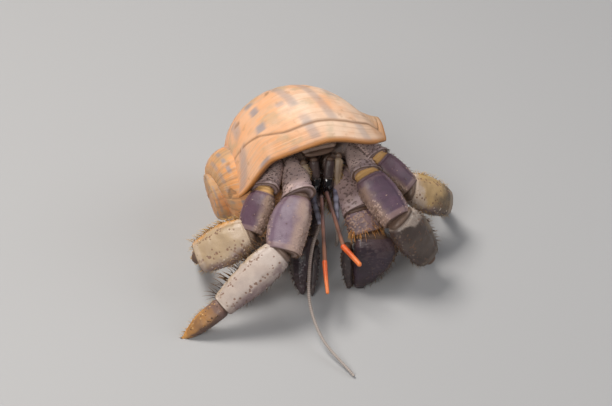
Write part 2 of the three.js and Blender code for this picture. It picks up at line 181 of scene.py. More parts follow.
print("noise at the origin:", round(float(noise(np.zeros((1, 3)), 1.0)[0]), 3))

# %% [markdown]
# ## From a grid to a closed mesh
# Most pieces are one kind of net: rings of points, one behind another, with a single
# point closing each end. A ring array of shape (rings, sides, 3) becomes quads between
# neighbouring rings and a fan at each end. Masks, such as where granules lie, are stored
# as point attributes for the materials to read.


# %% Closed skins
def closed_faces(rings, sides):
    """Quads (i,j)-(i,j+1)-(i+1,j+1)-(i+1,j) round each band, and two fans of triangles."""
    i, j = np.meshgrid(np.arange(rings - 1), np.arange(sides), indexing="ij")
    k = (j + 1) % sides
    quads = np.stack([i * sides + j, i * sides + k, (i + 1) * sides + k, (i + 1) * sides + j], -1)
    start, end = rings * sides, rings * sides + 1
    a = np.arange(sides)
    b = (a + 1) % sides
    first = np.stack([b, a, np.full(sides, start)], -1)
    last = (rings - 1) * sides
    final = np.stack([last + a, last + b, np.full(sides, end)], -1)
    return quads.reshape(-1, 4), np.concatenate([first, final])


def add_mesh(name, points_m, quads, triangles, masks=None, uv=None):
    """A mesh object from whole arrays, smooth shaded, with its masks as attributes."""
    mesh = bpy.data.meshes.new(name)
    corners = np.concatenate([quads.ravel(), triangles.ravel()]).astype(np.int32)
    counts = np.concatenate([np.full(len(quads), 4), np.full(len(triangles), 3)])
    starts = np.concatenate([[0], np.cumsum(counts)[:-1]]).astype(np.int32)
    mesh.vertices.add(len(points_m))
    mesh.vertices.foreach_set("co", np.asarray(points_m, np.float32).ravel())
    mesh.loops.add(len(corners))
    mesh.loops.foreach_set("vertex_index", corners)
    mesh.polygons.add(len(counts))
    mesh.polygons.foreach_set("loop_start", starts)
    mesh.update(calc_edges=True)
    mesh.polygons.foreach_set("use_smooth", np.ones(len(counts), bool))
    for label, values in (masks or {}).items():
        attribute = mesh.attributes.new(label, "FLOAT", "POINT")
        attribute.data.foreach_set("value", np.asarray(values, np.float32).ravel())
    if uv is not None:
        layer_name, per_point = uv
        uv_layer = mesh.uv_layers.new(name=layer_name)
        uv_layer.data.foreach_set("uv", np.asarray(per_point, np.float32)[corners].ravel())
    mesh.validate()
    piece = bpy.data.objects.new(name, mesh)
    bpy.context.scene.collection.objects.link(piece)
    return piece


def signed_volume(points, quads, triangles):
    """The sum of a . (b x c) / 6 over the triangles: negative when faces point inwards."""
    tris = np.concatenate([quads[:, [0, 1, 2]], quads[:, [0, 2, 3]], triangles])
    a, b, c = (points[tris[:, k]] for k in range(3))
    return np.einsum("ij,ij->i", a, np.cross(b, c)).sum() / 6


def closed_skin(name, rings, masks=None):
    """A closed skin from rings (n, sides, 3) in millimetres. The middle of the first ring
    and of the last one close its ends. A mask holds one value for each ring point, and an
    end point takes its ring's mean."""
    count, sides = rings.shape[:2]
    quads, triangles = closed_faces(count, sides)
    ends = [rings[0].mean(0), rings[-1].mean(0)]
    points = to_metres(np.concatenate([rings.reshape(-1, 3), ends]))
    centred = points - points.mean(0)
    if signed_volume(centred, quads, triangles) < 0:
        quads, triangles = quads[:, ::-1], triangles[:, ::-1]
    full = {}
    for label, values in (masks or {}).items():
        values = np.broadcast_to(values, (count, sides))
        full[label] = np.concatenate([values.ravel(), [values[0].mean(), values[-1].mean()]])
    return add_mesh(name, points, quads, triangles, full)


def wear(piece, node, material):
    """Puts a finished piece over its node, on the one body, with its material."""
    piece.data.materials.append(material)
    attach(piece, "root")
    if node:
        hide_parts(node)


print("mesh tools ready")

# %% [markdown]
# ## Granules, pits and how to scatter them
# A crab's plate is covered with low granules, and its legs with sunken pits that each
# hold a bristle. Both are scattered at random over the plate, as many to each square
# millimetre, more where a weight says so. A granule is a dome on the surface and a pit a
# bowl in it.


# %% Scattering
def cell_areas(surface):
    """The area that each grid point stands for: the length of du x dv."""
    du = np.gradient(surface, axis=0)
    dv = np.roll(surface, -1, axis=1) - surface
    return np.linalg.norm(np.cross(du, dv), axis=-1)


def scatter(surface, count, weight, rng):
    """Flat indices of grid points, each drawn with a chance of area x weight."""
    chance = (cell_areas(surface) * np.broadcast_to(weight, surface.shape[:2])).ravel()
    if count == 0 or chance.sum() <= 0:
        return np.zeros(0, int)
    return rng.choice(len(chance), size=int(count), replace=False, p=chance / chance.sum())


def domes(surface, centres, radii):
    """For each point the tallest of the domes 1 - (distance / radius)^2, or 0."""
    flat = surface.reshape(-1, 3).astype(np.float32)
    best = np.zeros(len(flat), np.float32)
    for start in range(0, len(centres), 16):
        c = centres[start : start + 16].astype(np.float32)
        r = radii[start : start + 16].astype(np.float32)
        gap = np.linalg.norm(flat[:, None] - c[None], axis=2) / r
        best = np.maximum(best, np.clip(1 - gap**2, 0, 1).max(1))
    return best.reshape(surface.shape[:2])


def outward(surface):
    """Unit normals of a ring grid: dv x du, turned away from each ring's middle."""
    du = np.gradient(surface, axis=0)
    dv = np.roll(surface, -1, axis=1) - np.roll(surface, 1, axis=1)
    normal = np.cross(dv, du)
    normal /= np.linalg.norm(normal, axis=-1, keepdims=True) + 1e-12
    away = surface - surface.mean(axis=1, keepdims=True)
    flip = np.sign((normal * away).sum(-1).mean())
    return normal * (flip if flip else 1)


print("scattering ready")

# %% [markdown]
# ## The shell's shape
# A turban shell is one tube coiled round an axis: its section keeps its shape and halves
# in size with each turn back from the lip. A point of the wall is named by two angles:
# `turn`, how far back from the lip it lies, and `around`, from the shoulder over the
# outside to the base. It could be made from stacked rings; the coil is better, because
# the growth lines, cords and colour bands all follow those two angles.

# %% The coil
# Lengths are in millimetres. All angles but yaw and dip are in degrees. The shell grows
# by `growth` in each turn, and a section's corners are rounder as `round` gets larger.
SHELL = {
    "radius": 21.1,
    "half_width": 14.6,
    "centre": 31.0,
    "apex": -29.5,
    "growth": 2.0,
    "round": 0.55,
    "flare": 0.05,
    "shoulder": 0.42,
    "shoulder_lean": 32.0,
    "yaw": math.radians(19),
    "dip": math.radians(5.4),
    "lip_angle": 52.0,
    "height": 14.45,
    "wall": 1.3,
    "turns": 900.0,
    "blunt_from": -21.0,
    "blunt_over": 1.8,
}
COIL_AXIS = np.array([
    math.cos(SHELL["yaw"]) * math.cos(SHELL["dip"]),
    math.sin(SHELL["yaw"]) * math.cos(SHELL["dip"]),
    math.sin(SHELL["dip"]),
])
COIL_FRONT = np.array([math.sin(SHELL["yaw"]), -math.cos(SHELL["yaw"]), 0.0])
COIL_UP = -np.cross(COIL_AXIS, COIL_FRONT)


def lip_lean(around):
    """58 s(60,88) - 2 - 8 s(-5,45) - 32 s(45,90 of -around), s being the smooth step: how
    far, in degrees, the lip's edge leans from a flat cut."""
    run_back = 58 * smoothstep(around, 60, 88)
    run_on = SHELL["shoulder_lean"] * smoothstep(-around, 45, 90)
    return run_back - 2 - 8 * smoothstep(around, -5, 45) - run_on


def shell_point(turn, around, offset=0.0, core=0.3):
    """With size = growth^(-turn/360): radius = (size R + offset) cos(around)^0.55, and
    along the axis size centre + wide sin(around) + apex. Here wide = size W (1 + base +
    shoulder) + offset, base and shoulder widening the last turn on its two sides. Past
    `blunt_from` the place along the axis is eased to a stop, for the blunt apex."""
    turn, around, offset = np.broadcast_arrays(turn, around, np.asarray(offset, float))
    late = np.maximum(turn, 0)
    size = SHELL["growth"] ** (-turn / 360)
    base = np.where(around > 0, SHELL["flare"] * np.exp(-late / 30), 0)
    shoulder = SHELL["shoulder"] * smoothstep(-around, 25, 88) * np.exp(-late / 75)
    angle = np.radians(SHELL["lip_angle"] + turn + lip_lean(around) * np.exp(-late / 70))
    wide = size * SHELL["half_width"] * (1 + base + shoulder) + offset
    cosine = np.clip(np.cos(np.radians(around)), 0, 1)
    radius = (size * SHELL["radius"] + offset) * cosine ** SHELL["round"]
    radius = core + np.maximum(radius - core, 0)
    place = size * SHELL["centre"] + SHELL["apex"] + wide * np.sin(np.radians(around))
    past = np.maximum(SHELL["blunt_from"] - place, 0) / SHELL["blunt_over"]
    place = place + SHELL["blunt_over"] * (past - np.tanh(past))
    return (
        np.array([0, 0, SHELL["height"]])
        + place[..., None] * COIL_AXIS
        + (radius * np.cos(angle))[..., None] * COIL_FRONT
        + (radius * np.sin(angle))[..., None] * COIL_UP
    )


print("the coil's axis points to", np.round(COIL_AXIS, 3).tolist())

# %% [markdown]
# The skin starts deep in the mouth, comes out along the inner wall, rolls over the lip
# and runs back along the outside to the apex. That makes one closed net with no edge. Its
# rings are closer together near the lip, where the shell is seen from nearest.

# %% The shell's skin
AROUND = np.linspace(-90, 90, 170)
inner_turns = np.concatenate([np.linspace(215, 20, 50), np.linspace(16, 0.8, 12)])
rim_angles = np.linspace(0.25, 0.75, 7)
outer_turns = np.concatenate([np.linspace(0.6, 30, 48), np.linspace(31, 360, 250)[1:]])
outer_turns = np.concatenate([outer_turns, np.linspace(363, SHELL["turns"], 150)])

half_wall = SHELL["wall"] * 0.5
rim_turn = 0.6 * (1 - np.sin(rim_angles * math.pi))
rim_offset = -half_wall - half_wall * np.cos(rim_angles * math.pi)
turns = np.concatenate([inner_turns, rim_turn, outer_turns])
offsets = np.concatenate(
    [np.full(len(inner_turns), -SHELL["wall"]), rim_offset, np.zeros(len(outer_turns))]
)
cores = np.concatenate([
    np.full(len(inner_turns), 1.3),
    np.linspace(1.2, 0.4, len(rim_turn)),
    np.full(len(outer_turns), 0.3),
])
inside = np.concatenate(
    [np.ones(len(inner_turns)), np.linspace(1, 0, len(rim_turn)), np.zeros(len(outer_turns))]
)
T, A = np.meshgrid(turns, AROUND, indexing="ij")
shell_base = shell_point(T, A, offsets[:, None], cores[:, None])
outside = 1 - inside[:, None]

print("rings in the shell's skin:", len(turns))

# %% [markdown]
# A shell is never plain. It swells a little, stops growing now and then and leaves a
# line, and carries one deep groove and fine cords. Each gives a value at every point of
# the net, and their sum moves the wall in or out.

# %% The shell's relief
# Growth checks: the weak lines where the shell paused, at uneven steps back from the lip.
rng = np.random.default_rng(7)
pauses = np.cumsum(rng.uniform(7, 26, 60))
gap_to_pause = np.abs(T[..., None] - pauses[None, None, :]).min(-1)
check_line = np.exp(-((gap_to_pause / 1.6) ** 2)) * outside
check_line = check_line * (0.15 + 0.85 * smoothstep(T, 50, 110))
# The one deep line that runs round the shoulder and leans back to the axis.
groove_turn = 14 + 29 * smoothstep(-A, 22, 95) - 7 * smoothstep(A, 45, 75)
groove = np.exp(-(((T - groove_turn) / 0.8) ** 2)) * outside
ridge = np.exp(-(((T - groove_turn + 3.2) / 2.2) ** 2)) * outside
# A faint spiral cord each twelve degrees round the whorl.
cords = 0.5 + 0.5 * np.cos(np.radians(A) * 30)
size = SHELL["growth"] ** (-np.maximum(T, 0) / 360)
slow = rough_noise(shell_base, 9.0, 3, seed=3) - 0.5
SWELL_RISE, CORD_RISE, RIDGE_RISE = 0.20, 0.04, 0.03
CHECK_DEPTH, GROOVE_DEPTH, WORN_DEPTH, SKIN_DEPTH = 0.10, 0.16, 0.12, 0.08
relief = (
    SWELL_RISE * slow * size
    - CHECK_DEPTH * check_line * size
    - GROOVE_DEPTH * groove
    + RIDGE_RISE * ridge
    + CORD_RISE * cords * size * outside
)
fade = smoothstep(90 - np.abs(A), 2, 12)
spot_noise = rough_noise(shell_base, 2.2, 2, seed=11)
worn_pits = smoothstep(spot_noise, 0.72, 0.80) * outside * smoothstep(T, 20, 60)
relief = relief - WORN_DEPTH * worn_pits
shell_rings = shell_point(T, A, offsets[:, None] + (relief - SKIN_DEPTH) * fade, cores[:, None])
shell_rings[..., 2] = np.maximum(shell_rings[..., 2], 0.0)

print("relief from", round(float(relief.min()), 2), "to", round(float(relief.max()), 2), "mm")

# %% [markdown]
# The blotches lie in rows that follow the coil, so they too are a field of the angles: a
# band in `around`, cut into squares by a noise that runs along `turn`.

# %% The shell's blotches and mesh
# Blue-grey blotches in spiral rows, as wide as long, with gaps between them.
blotch = np.zeros_like(T)
row_shift = 20 * (1 - np.exp(-np.maximum(T, 0) / 40))
for row, (row_around, strength) in enumerate(
    [(-53, 1.0), (-74, 0.6), (-30, 0.6), (-8, 0.6), (14, 0.55), (34, 0.5)]
):
    row_around = row_around + row_shift * (row_around < -20)
    beat = noise(np.stack([T * 0.11, np.full_like(T, row * 9.0), A * 0.0], -1), 1.0, seed=5 + row)
    across = np.exp(-(((A - row_around) / 4.4) ** 4))
    blotch = np.maximum(blotch, strength * across * smoothstep(beat, 0.46, 0.60))
blotch *= outside

masks = {
    "turn": T,
    "around": A,
    "inside": np.broadcast_to(inside[:, None], T.shape),
    "groove": groove,
    "check_line": check_line,
    "blotch": blotch,
    "worn": worn_pits,
}
shell = closed_skin("turban_shell", shell_rings, masks)
print("shell:", len(shell.data.vertices), "points")

# %% [markdown]
# ## Colour as layers of masks
# The materials share two small node groups. *Mottle* gives a stain mask from noise, and a
# finer noise for the bump. *Layer* lays a colour over another where a mask says so. Each
# gives out only colours and values; the shader itself stays in the material, so that
# every material shows in one place how shiny it is.


# %% Node helpers
def new_group(name, inputs, outputs):
    """A node group with named sockets: (name, kind, default) in, (name, kind) out."""
    group = bpy.data.node_groups.new(name, "ShaderNodeTree")
    for label, kind, value in inputs:
        socket = group.interface.new_socket(label, in_out="INPUT", socket_type=kind)
        if value is not None:
            socket.default_value = value
    for label, kind in outputs:
        group.interface.new_socket(label, in_out="OUTPUT", socket_type=kind)
    return group, group.nodes.new("NodeGroupInput"), group.nodes.new("NodeGroupOutput")


COLOUR, FLOAT, VECTOR = "NodeSocketColor", "NodeSocketFloat", "NodeSocketVector"


def maths(tree, operation, first, second=None, clamp=False):
    """One maths node; a number is set on its socket and a socket is linked to it."""
    node = tree.nodes.new("ShaderNodeMath")
    node.operation = operation
    node.use_clamp = clamp
    for index, value in enumerate((first, second)):
        if value is None:
            continue
        if isinstance(value, (int, float)):
            node.inputs[index].default_value = value
        else:
            tree.links.new(value, node.inputs[index])
    return node.outputs[0]


def ramp(tree, value, low, high):
    """A smooth step of a value from low to high, clamped to 0..1."""
    node = tree.nodes.new("ShaderNodeMapRange")
    node.interpolation_type = "SMOOTHSTEP"
    node.inputs["From Min"].default_value = low
    node.inputs["From Max"].default_value = high
    tree.links.new(value, node.inputs["Value"])
    return node.outputs["Result"]


def noise_value(tree, vector, scale, detail=3.0):
    """The value of a noise texture read at a vector."""
    node = tree.nodes.new("ShaderNodeTexNoise")
    node.inputs["Scale"].default_value = scale
    node.inputs["Detail"].default_value = detail
    tree.links.new(vector, node.inputs["Vector"])
    return node.outputs["Fac"]


def mask(tree, name):
    """A piece's own point attribute as a value."""
    node = tree.nodes.new("ShaderNodeAttribute")
    node.attribute_name = name
    return node.outputs["Fac"]


print("node helpers ready")

# %% The two groups
mottle_group, g_in, g_out = new_group(
    "Mottle",
    [("Vector", VECTOR, None), ("Size", FLOAT, 300.0), ("Low", FLOAT, 0.42), ("High", FLOAT, 0.62)],
    [("Mask", FLOAT), ("Fine", FLOAT)],
)
coarse = mottle_group.nodes.new("ShaderNodeTexNoise")
coarse.inputs["Detail"].default_value = 4
mottle_group.links.new(g_in.outputs["Vector"], coarse.inputs["Vector"])
mottle_group.links.new(g_in.outputs["Size"], coarse.inputs["Scale"])
fine_size = maths(mottle_group, "MULTIPLY", g_in.outputs["Size"], 5.3)
fine = mottle_group.nodes.new("ShaderNodeTexNoise")
fine.inputs["Detail"].default_value = 2
mottle_group.links.new(g_in.outputs["Vector"], fine.inputs["Vector"])
mottle_group.links.new(fine_size, fine.inputs["Scale"])
spread = mottle_group.nodes.new("ShaderNodeMapRange")
spread.interpolation_type = "SMOOTHSTEP"
mottle_group.links.new(coarse.outputs["Fac"], spread.inputs["Value"])
mottle_group.links.new(g_in.outputs["Low"], spread.inputs["From Min"])
mottle_group.links.new(g_in.outputs["High"], spread.inputs["From Max"])
mottle_group.links.new(spread.outputs["Result"], g_out.inputs["Mask"])
mottle_group.links.new(fine.outputs["Fac"], g_out.inputs["Fine"])

layer_group, g_in, g_out = new_group(
    "Layer",
    [("Under", COLOUR, (0.5, 0.5, 0.5, 1)), ("Over", COLOUR, (0.5, 0.5, 0.5, 1)),
     ("Mask", FLOAT, 0.0), ("Strength", FLOAT, 1.0)],
    [("Colour", COLOUR)],
)
amount = maths(layer_group, "MULTIPLY", g_in.outputs["Mask"], g_in.outputs["Strength"], clamp=True)
blend = layer_group.nodes.new("ShaderNodeMix")
blend.data_type = "RGBA"
layer_group.links.new(amount, blend.inputs[0])
layer_group.links.new(g_in.outputs["Under"], blend.inputs[6])
layer_group.links.new(g_in.outputs["Over"], blend.inputs[7])
layer_group.links.new(blend.outputs[2], g_out.inputs["Colour"])

print("groups:", mottle_group.name, layer_group.name)


# %% Using the groups
def add_group(tree, group, **values):
    """A group node; colours and numbers are set, sockets are linked, by input name."""
    node = tree.nodes.new("ShaderNodeGroup")
    node.node_tree = group
    for label, value in values.items():
        if isinstance(value, bpy.types.NodeSocket):
            tree.links.new(value, node.inputs[label])
        elif isinstance(value, (tuple, list)):
            node.inputs[label].default_value = (*value, 1)
        else:
            node.inputs[label].default_value = value
    return node


def layer(tree, under, over, where, strength=1.0):
    """One colour laid over another through a mask."""
    return add_group(
        tree, layer_group, Under=under, Over=over, Mask=where, Strength=strength,
    ).outputs["Colour"]


def new_material(name, roughness=0.5, specular=0.5):
    """An empty material with its Principled shader: (material, tree, shader, vector)."""
    material = bpy.data.materials.new(name)
    material.use_nodes = True
    tree = material.node_tree
    shader = tree.nodes["Principled BSDF"]
    shader.inputs["Roughness"].default_value = roughness
    shader.inputs["Specular IOR Level"].default_value = specular
    coordinates = tree.nodes.new("ShaderNodeTexCoord")
    return material, tree, shader, coordinates.outputs["Object"]


def bump(tree, shader, height, distance, strength=1.0):
    """A bump node from a height value into the shader's normal, distance in metres."""
    node = tree.nodes.new("ShaderNodeBump")
    node.inputs["Strength"].default_value = strength
    node.inputs["Distance"].default_value = distance
    tree.links.new(height, node.inputs["Height"])
    tree.links.new(node.outputs["Normal"], shader.inputs["Normal"])


print("node groups ready")

# %% [markdown]
# ## The shell's material
# A worn turban shell is creamy pink where it is rubbed, peach-orange on the shoulder and
# the spire, and grey-green where its outer skin is left. Fine growth lines cross it: a
# noise that changes fast along `turn` and very little along `around`, so that they follow
# the lip's shape all the way back.

# %% Shell material
shell_paint, tree, shader, vector = new_material("shell_paint", 0.5, 0.35)
turn, around = mask(tree, "turn"), mask(tree, "around")
coil = tree.nodes.new("ShaderNodeCombineXYZ")
tree.links.new(turn, coil.inputs["X"])
tree.links.new(maths(tree, "MULTIPLY", around, 0.035), coil.inputs["Y"])
growth_lines = noise_value(tree, coil.outputs["Vector"], 0.55, 4.0)
coil_wide = tree.nodes.new("ShaderNodeCombineXYZ")
tree.links.new(maths(tree, "MULTIPLY", turn, 0.12), coil_wide.inputs["X"])
tree.links.new(maths(tree, "MULTIPLY", around, 0.05), coil_wide.inputs["Y"])
growth_bands = noise_value(tree, coil_wide.outputs["Vector"], 0.8, 2.0)
mottle = add_group(tree, mottle_group, Vector=vector, Size=110.0, Low=0.40, High=0.62)
spots = add_group(tree, mottle_group, Vector=vector, Size=420.0, Low=0.60, High=0.70)

print("shell masks ready")

# %% Shell colours
CREAM, PEACH, ORANGE = (0.84, 0.60, 0.44), (0.80, 0.38, 0.17), (0.78, 0.34, 0.10)
colour = layer(tree, CREAM, PEACH, mottle.outputs["Mask"], 0.75)
shoulder = ramp(tree, maths(tree, "MULTIPLY", around, -1.0), 10, 60)
colour = layer(tree, colour, PEACH, shoulder, 0.7)
high = ramp(tree, turn, 45, 100)
colour = layer(tree, colour, PEACH, high, 0.75)
spire = ramp(tree, turn, 150, 420)
colour = layer(tree, colour, ORANGE, spire, 0.7)
colour = layer(tree, colour, (0.62, 0.44, 0.33), ramp(tree, growth_bands, 0.52, 0.66), 0.35)
colour = layer(tree, colour, (0.66, 0.42, 0.27), ramp(tree, growth_lines, 0.50, 0.62), 0.55)
olive = ramp(tree, noise_value(tree, vector, 150, 4.0), 0.52, 0.64)
colour = layer(tree, colour, (0.36, 0.34, 0.22), olive, 0.38)
colour = layer(tree, colour, (0.30, 0.28, 0.30), mask(tree, "blotch"), 0.80)
colour = layer(tree, colour, (0.44, 0.24, 0.13), spots.outputs["Mask"], 0.40)
colour = layer(tree, colour, (0.35, 0.20, 0.12), mask(tree, "check_line"), 0.45)
colour = layer(tree, colour, (0.26, 0.13, 0.06), mask(tree, "groove"), 0.9)
colour = layer(tree, colour, (0.30, 0.16, 0.08), mask(tree, "worn"), 0.6)
base_dark = ramp(tree, around, 35, 80)
colour = layer(tree, colour, (0.42, 0.25, 0.13), base_dark, 0.6)
lip_dark = ramp(tree, maths(tree, "MULTIPLY", turn, -1.0), -4.0, -1.0)
colour = layer(tree, colour, (0.42, 0.16, 0.03), lip_dark, 0.9)
# Painted shade: the whole inner wall of the mouth is painted dark brown, for the shade that fills the
# shell's mouth.
colour = layer(tree, colour, (0.20, 0.10, 0.045), mask(tree, "inside"), 0.95)
tree.links.new(colour, shader.inputs["Base Color"])
height = maths(
    tree, "ADD", growth_lines, maths(tree, "MULTIPLY", mottle.outputs["Fine"], 0.35)
)
bump(tree, shader, height, 0.00018, 0.8)
wear(shell, "shell", shell_paint)
print("shell painted")

# %% [markdown]
# ## One plate of a limb
# Every limb is a row of hard plates with soft rings between them. A plate is a tube that
# swells from its neck to a belly and narrows to its mouth. Its section is a rounded
# square, with a depth of its own above and below the middle line. At the far end a rim
# stands round a shallow groove and a low, soft crown, where the next plate's neck sits.

# %% Plate shape
RIGHT, LEFT = 1, -1
CAP_ROWS, LIP_ROWS, CROWN_ROWS = 14, 8, 12
LIP_REACH, LIP_NARROWS, CROWN_FOOT, CROWN_RISE = 0.34, 0.16, 0.05, 0.5


def swell(sizes, at, t):
    """neck + (belly - neck) sin(pi t / 2 at)^0.8 up to `at`, then mouth + (belly - mouth)
    cos(pi (t - at) / 2 (1 - at))^0.8."""
    neck, belly, mouth = sizes
    rise = np.sin(math.pi / 2 * np.clip(t / at, 0, 1)) ** 0.8
    fall = np.cos(math.pi / 2 * np.clip((t - at) / (1 - at), 0, 1)) ** 0.8
    return np.where(t < at, neck + (belly - neck) * rise, mouth + (belly - mouth) * fall)


def signed_power(x, power):
    """sign(x) |x|^power."""
    return np.sign(x) * np.abs(x) ** power


def plate_rows(length, rows, caps, pointed):
    """The rows of a plate: place along it, t, and the scale of the ring. An elliptic cap
    comes first, then the tube, then either an elliptic tip or a rim and a crown."""
    a = np.linspace(0.02, 1, CAP_ROWS)
    near = (-caps[0] * np.sqrt(1 - a**2), np.zeros_like(a), a)
    t = np.linspace(0, 1, rows)[1:]
    tube = (t * length, t, np.ones_like(t))
    if pointed:
        b = np.linspace(1, 0.02, CAP_ROWS)[1:]
        far = (length + caps[1] * np.sqrt(1 - b**2), np.ones_like(b), b)
    else:
        fold = np.linspace(0, 1, LIP_ROWS + 1)[1:]
        lip_x = length + LIP_REACH * np.sin(fold * math.pi * 0.75)
        lip_scale = 1 - LIP_NARROWS * fold**2
        b = np.linspace(0.82, 0.03, CROWN_ROWS)
        far_x = np.concatenate([lip_x, length + CROWN_FOOT + CROWN_RISE * (1 - b)])
        far = (far_x, np.ones_like(far_x), np.concatenate([lip_scale, b]))
    return tuple(np.concatenate(parts) for parts in zip(near, tube, far))


def plate_surface(seg, rows=150, sides=128, inset=0.0):
    """start + x along + s high sgn(cos a)|cos a|^q up + s thick sgn(sin a)|sin a|^q out."""
    start, end = np.array(seg["from"], float), np.array(seg["to"], float)
    length = np.linalg.norm(end - start)
    along = (end - start) / length
    face = np.array(seg["face"], float)
    out = unit(face - along * (face @ along))
    up = np.cross(along, out) * seg["side"]
    caps = seg.get("caps", (1.0, 1.0))
    x, t, scale = plate_rows(length, rows, caps, seg.get("pointed", False))
    a = np.linspace(0, 2 * math.pi, sides, endpoint=False)
    rise = signed_power(np.cos(a), seg.get("square", 0.8))
    bulge = signed_power(np.sin(a), seg.get("square", 0.8))
    at = seg.get("at", 0.5)
    high, low, thick = (swell(seg[k], at, t) - inset for k in ("high", "low", "thick"))
    reach = np.where(rise > 0, high[:, None], low[:, None])
    surface = (
        start
        + x[:, None, None] * along
        + (scale[:, None] * reach * rise)[..., None] * up
        + (scale[:, None] * thick[:, None] * bulge)[..., None] * out
    )
    return {
        "surface": surface,
        "t": np.broadcast_to(t[:, None], surface.shape[:2]),
        "x": np.broadcast_to(x[:, None], surface.shape[:2]),
        "upper": np.broadcast_to(np.cos(a)[None], surface.shape[:2]),
        "outer": np.broadcast_to(np.sin(a)[None], surface.shape[:2]),
        "angle": np.broadcast_to(a[None], surface.shape[:2]),
        "length": length,
        "along": along,
    }


print("rows of a plain plate:", len(plate_rows(10, 150, (1, 1), False)[0]))

# %% [markdown]
# ## Carving a plate
# The plain tube is then carved. A soft ring marks the neck, a raised band the rim, and a
# row of teeth an edge. Granules lie scattered or along the edges, and pits partly in
# rows. What was carved is kept as masks, so that the colours can follow it.


# %% Carving
COAT_DEPTH = 0.06
RIM_RISE, NECK_SINK, NECK_GROOVE, CRACK_DEPTH = 0.04, 0.28, 0.18, 0.15
LUMP_SIZE = 3.2


def carve(seg, rng, look):
    """The plate's surface moved along its normals by the sum of its carvings, in mm."""
    plate = plate_surface(seg, look.get("rows", 150), look.get("sides", 128), inset=COAT_DEPTH)
    surface, t, upper, outer = (plate[k] for k in ("surface", "t", "upper", "outer"))
    normal = outward(surface)
    # Nothing is carved at the two ends, where the plates meet.
    open_part = smoothstep(t, 0.02, 0.10)
    open_part = open_part * (1 - smoothstep(plate["x"] - plate["length"], -0.1, 0.3))
    lumps = rough_noise(surface, LUMP_SIZE, 3, seed=look["seed"]) - 0.5
    lumps = lumps * look.get("lumps", 0.5)
    soft = look.get("soft", 0.045)
    neck = 1 - smoothstep(t, soft * 0.5, soft)
    neck_groove = np.exp(-(((t - soft * 1.1) / 0.02) ** 2))
    rim = smoothstep(t, 0.90, 0.95)
    # A keel along the upper margin, and a shallow trough on the broad face beside it.
    keel = np.exp(-(((1 - upper) / 0.05) ** 2)) * look.get("keel", 0.12)
    trough = np.exp(-(((upper - 0.62) / 0.16) ** 2)) * (outer > 0) * look.get("trough", 0.10)
    relief = (lumps + RIM_RISE * rim) * open_part - NECK_SINK * neck * smoothstep(t, 0, 0.02)
    relief = relief - NECK_GROOVE * neck_groove + (keel - trough) * open_part

    grain = np.zeros_like(t)
    for count, size, weight in look.get("grains", []):
        where = weight(plate) * open_part
        picked = scatter(surface, count, where + 1e-9, rng)
        radii = rng.uniform(0.7, 1.25, len(picked)) * size
        grain = np.maximum(
            grain,
            domes(surface, surface.reshape(-1, 3)[picked], radii) * smoothstep(where, 0.0, 0.2),
        )
    pit = np.zeros_like(t)
    for count, size, weight in look.get("pits", []):
        where = weight(plate) * open_part
        picked = scatter(surface, count, where + 1e-9, rng)
        radii = rng.uniform(0.7, 1.3, len(picked)) * size
        pit = np.maximum(pit, domes(surface, surface.reshape(-1, 3)[picked], radii))
    teeth = np.zeros_like(t)
    for margin, spacing, size, low, high in look.get("teeth", []):
        marks = np.arange(low * plate["length"], high * plate["length"], spacing)
        marks = marks + rng.uniform(-0.25, 0.25, len(marks)) * spacing
        rows_hit = np.abs(plate["x"][:, :1] - marks[None]).argmin(0)
        column = np.abs(np.angle(np.exp(1j * (plate["angle"][0] - margin)))).argmin()
        centres = surface[rows_hit, column] + rng.normal(0, 0.06, (len(marks), 3))
        teeth = np.maximum(teeth, domes(surface, centres, rng.uniform(0.75, 1.2, len(marks)) * size))
    relief = relief + look.get("grain_height", 0.10) * grain**0.8 - look.get("pit_depth", 0.10) * pit
    relief = relief + look.get("tooth_height", 0.3) * teeth**0.8 * open_part
    crack = np.zeros_like(t)
    if "crack" in look:
        crack = look["crack"](plate)
        relief = relief - CRACK_DEPTH * crack
    crown = smoothstep(plate["x"] - plate["length"], 0.12, 0.3) * (not seg.get("pointed", False))
    plate["carved"] = surface + relief[..., None] * normal
    plate["masks"] = {
        "t": t,
        "upper": upper,
        "grain": np.maximum(grain, teeth),
        "pit": pit,
        "rim": rim * open_part + (1 - open_part) * (t > 0.5) * 0.6,
        "neck": neck,
        "crack": crack,
        "crown": crown,
    }
    return plate


print("carving ready")

# %% [markdown]
# ## The plates' material
# One function builds every limb material from a handful of colours: the plate's ground
# colour and its stain, the upper edge, the lower edge, the far end, the granules, the
# pits and the soft ring. Only those colours and a few amounts differ between a leg and a
# claw.


# %% Plate material
EDGE_AMOUNT, END_AMOUNT = 0.9, 0.85
STAIN_SIZE, SPECK_SIZE, WOBBLE = 260.0, 900.0, 0.22
CROWN_COLOUR = (0.10, 0.055, 0.035)


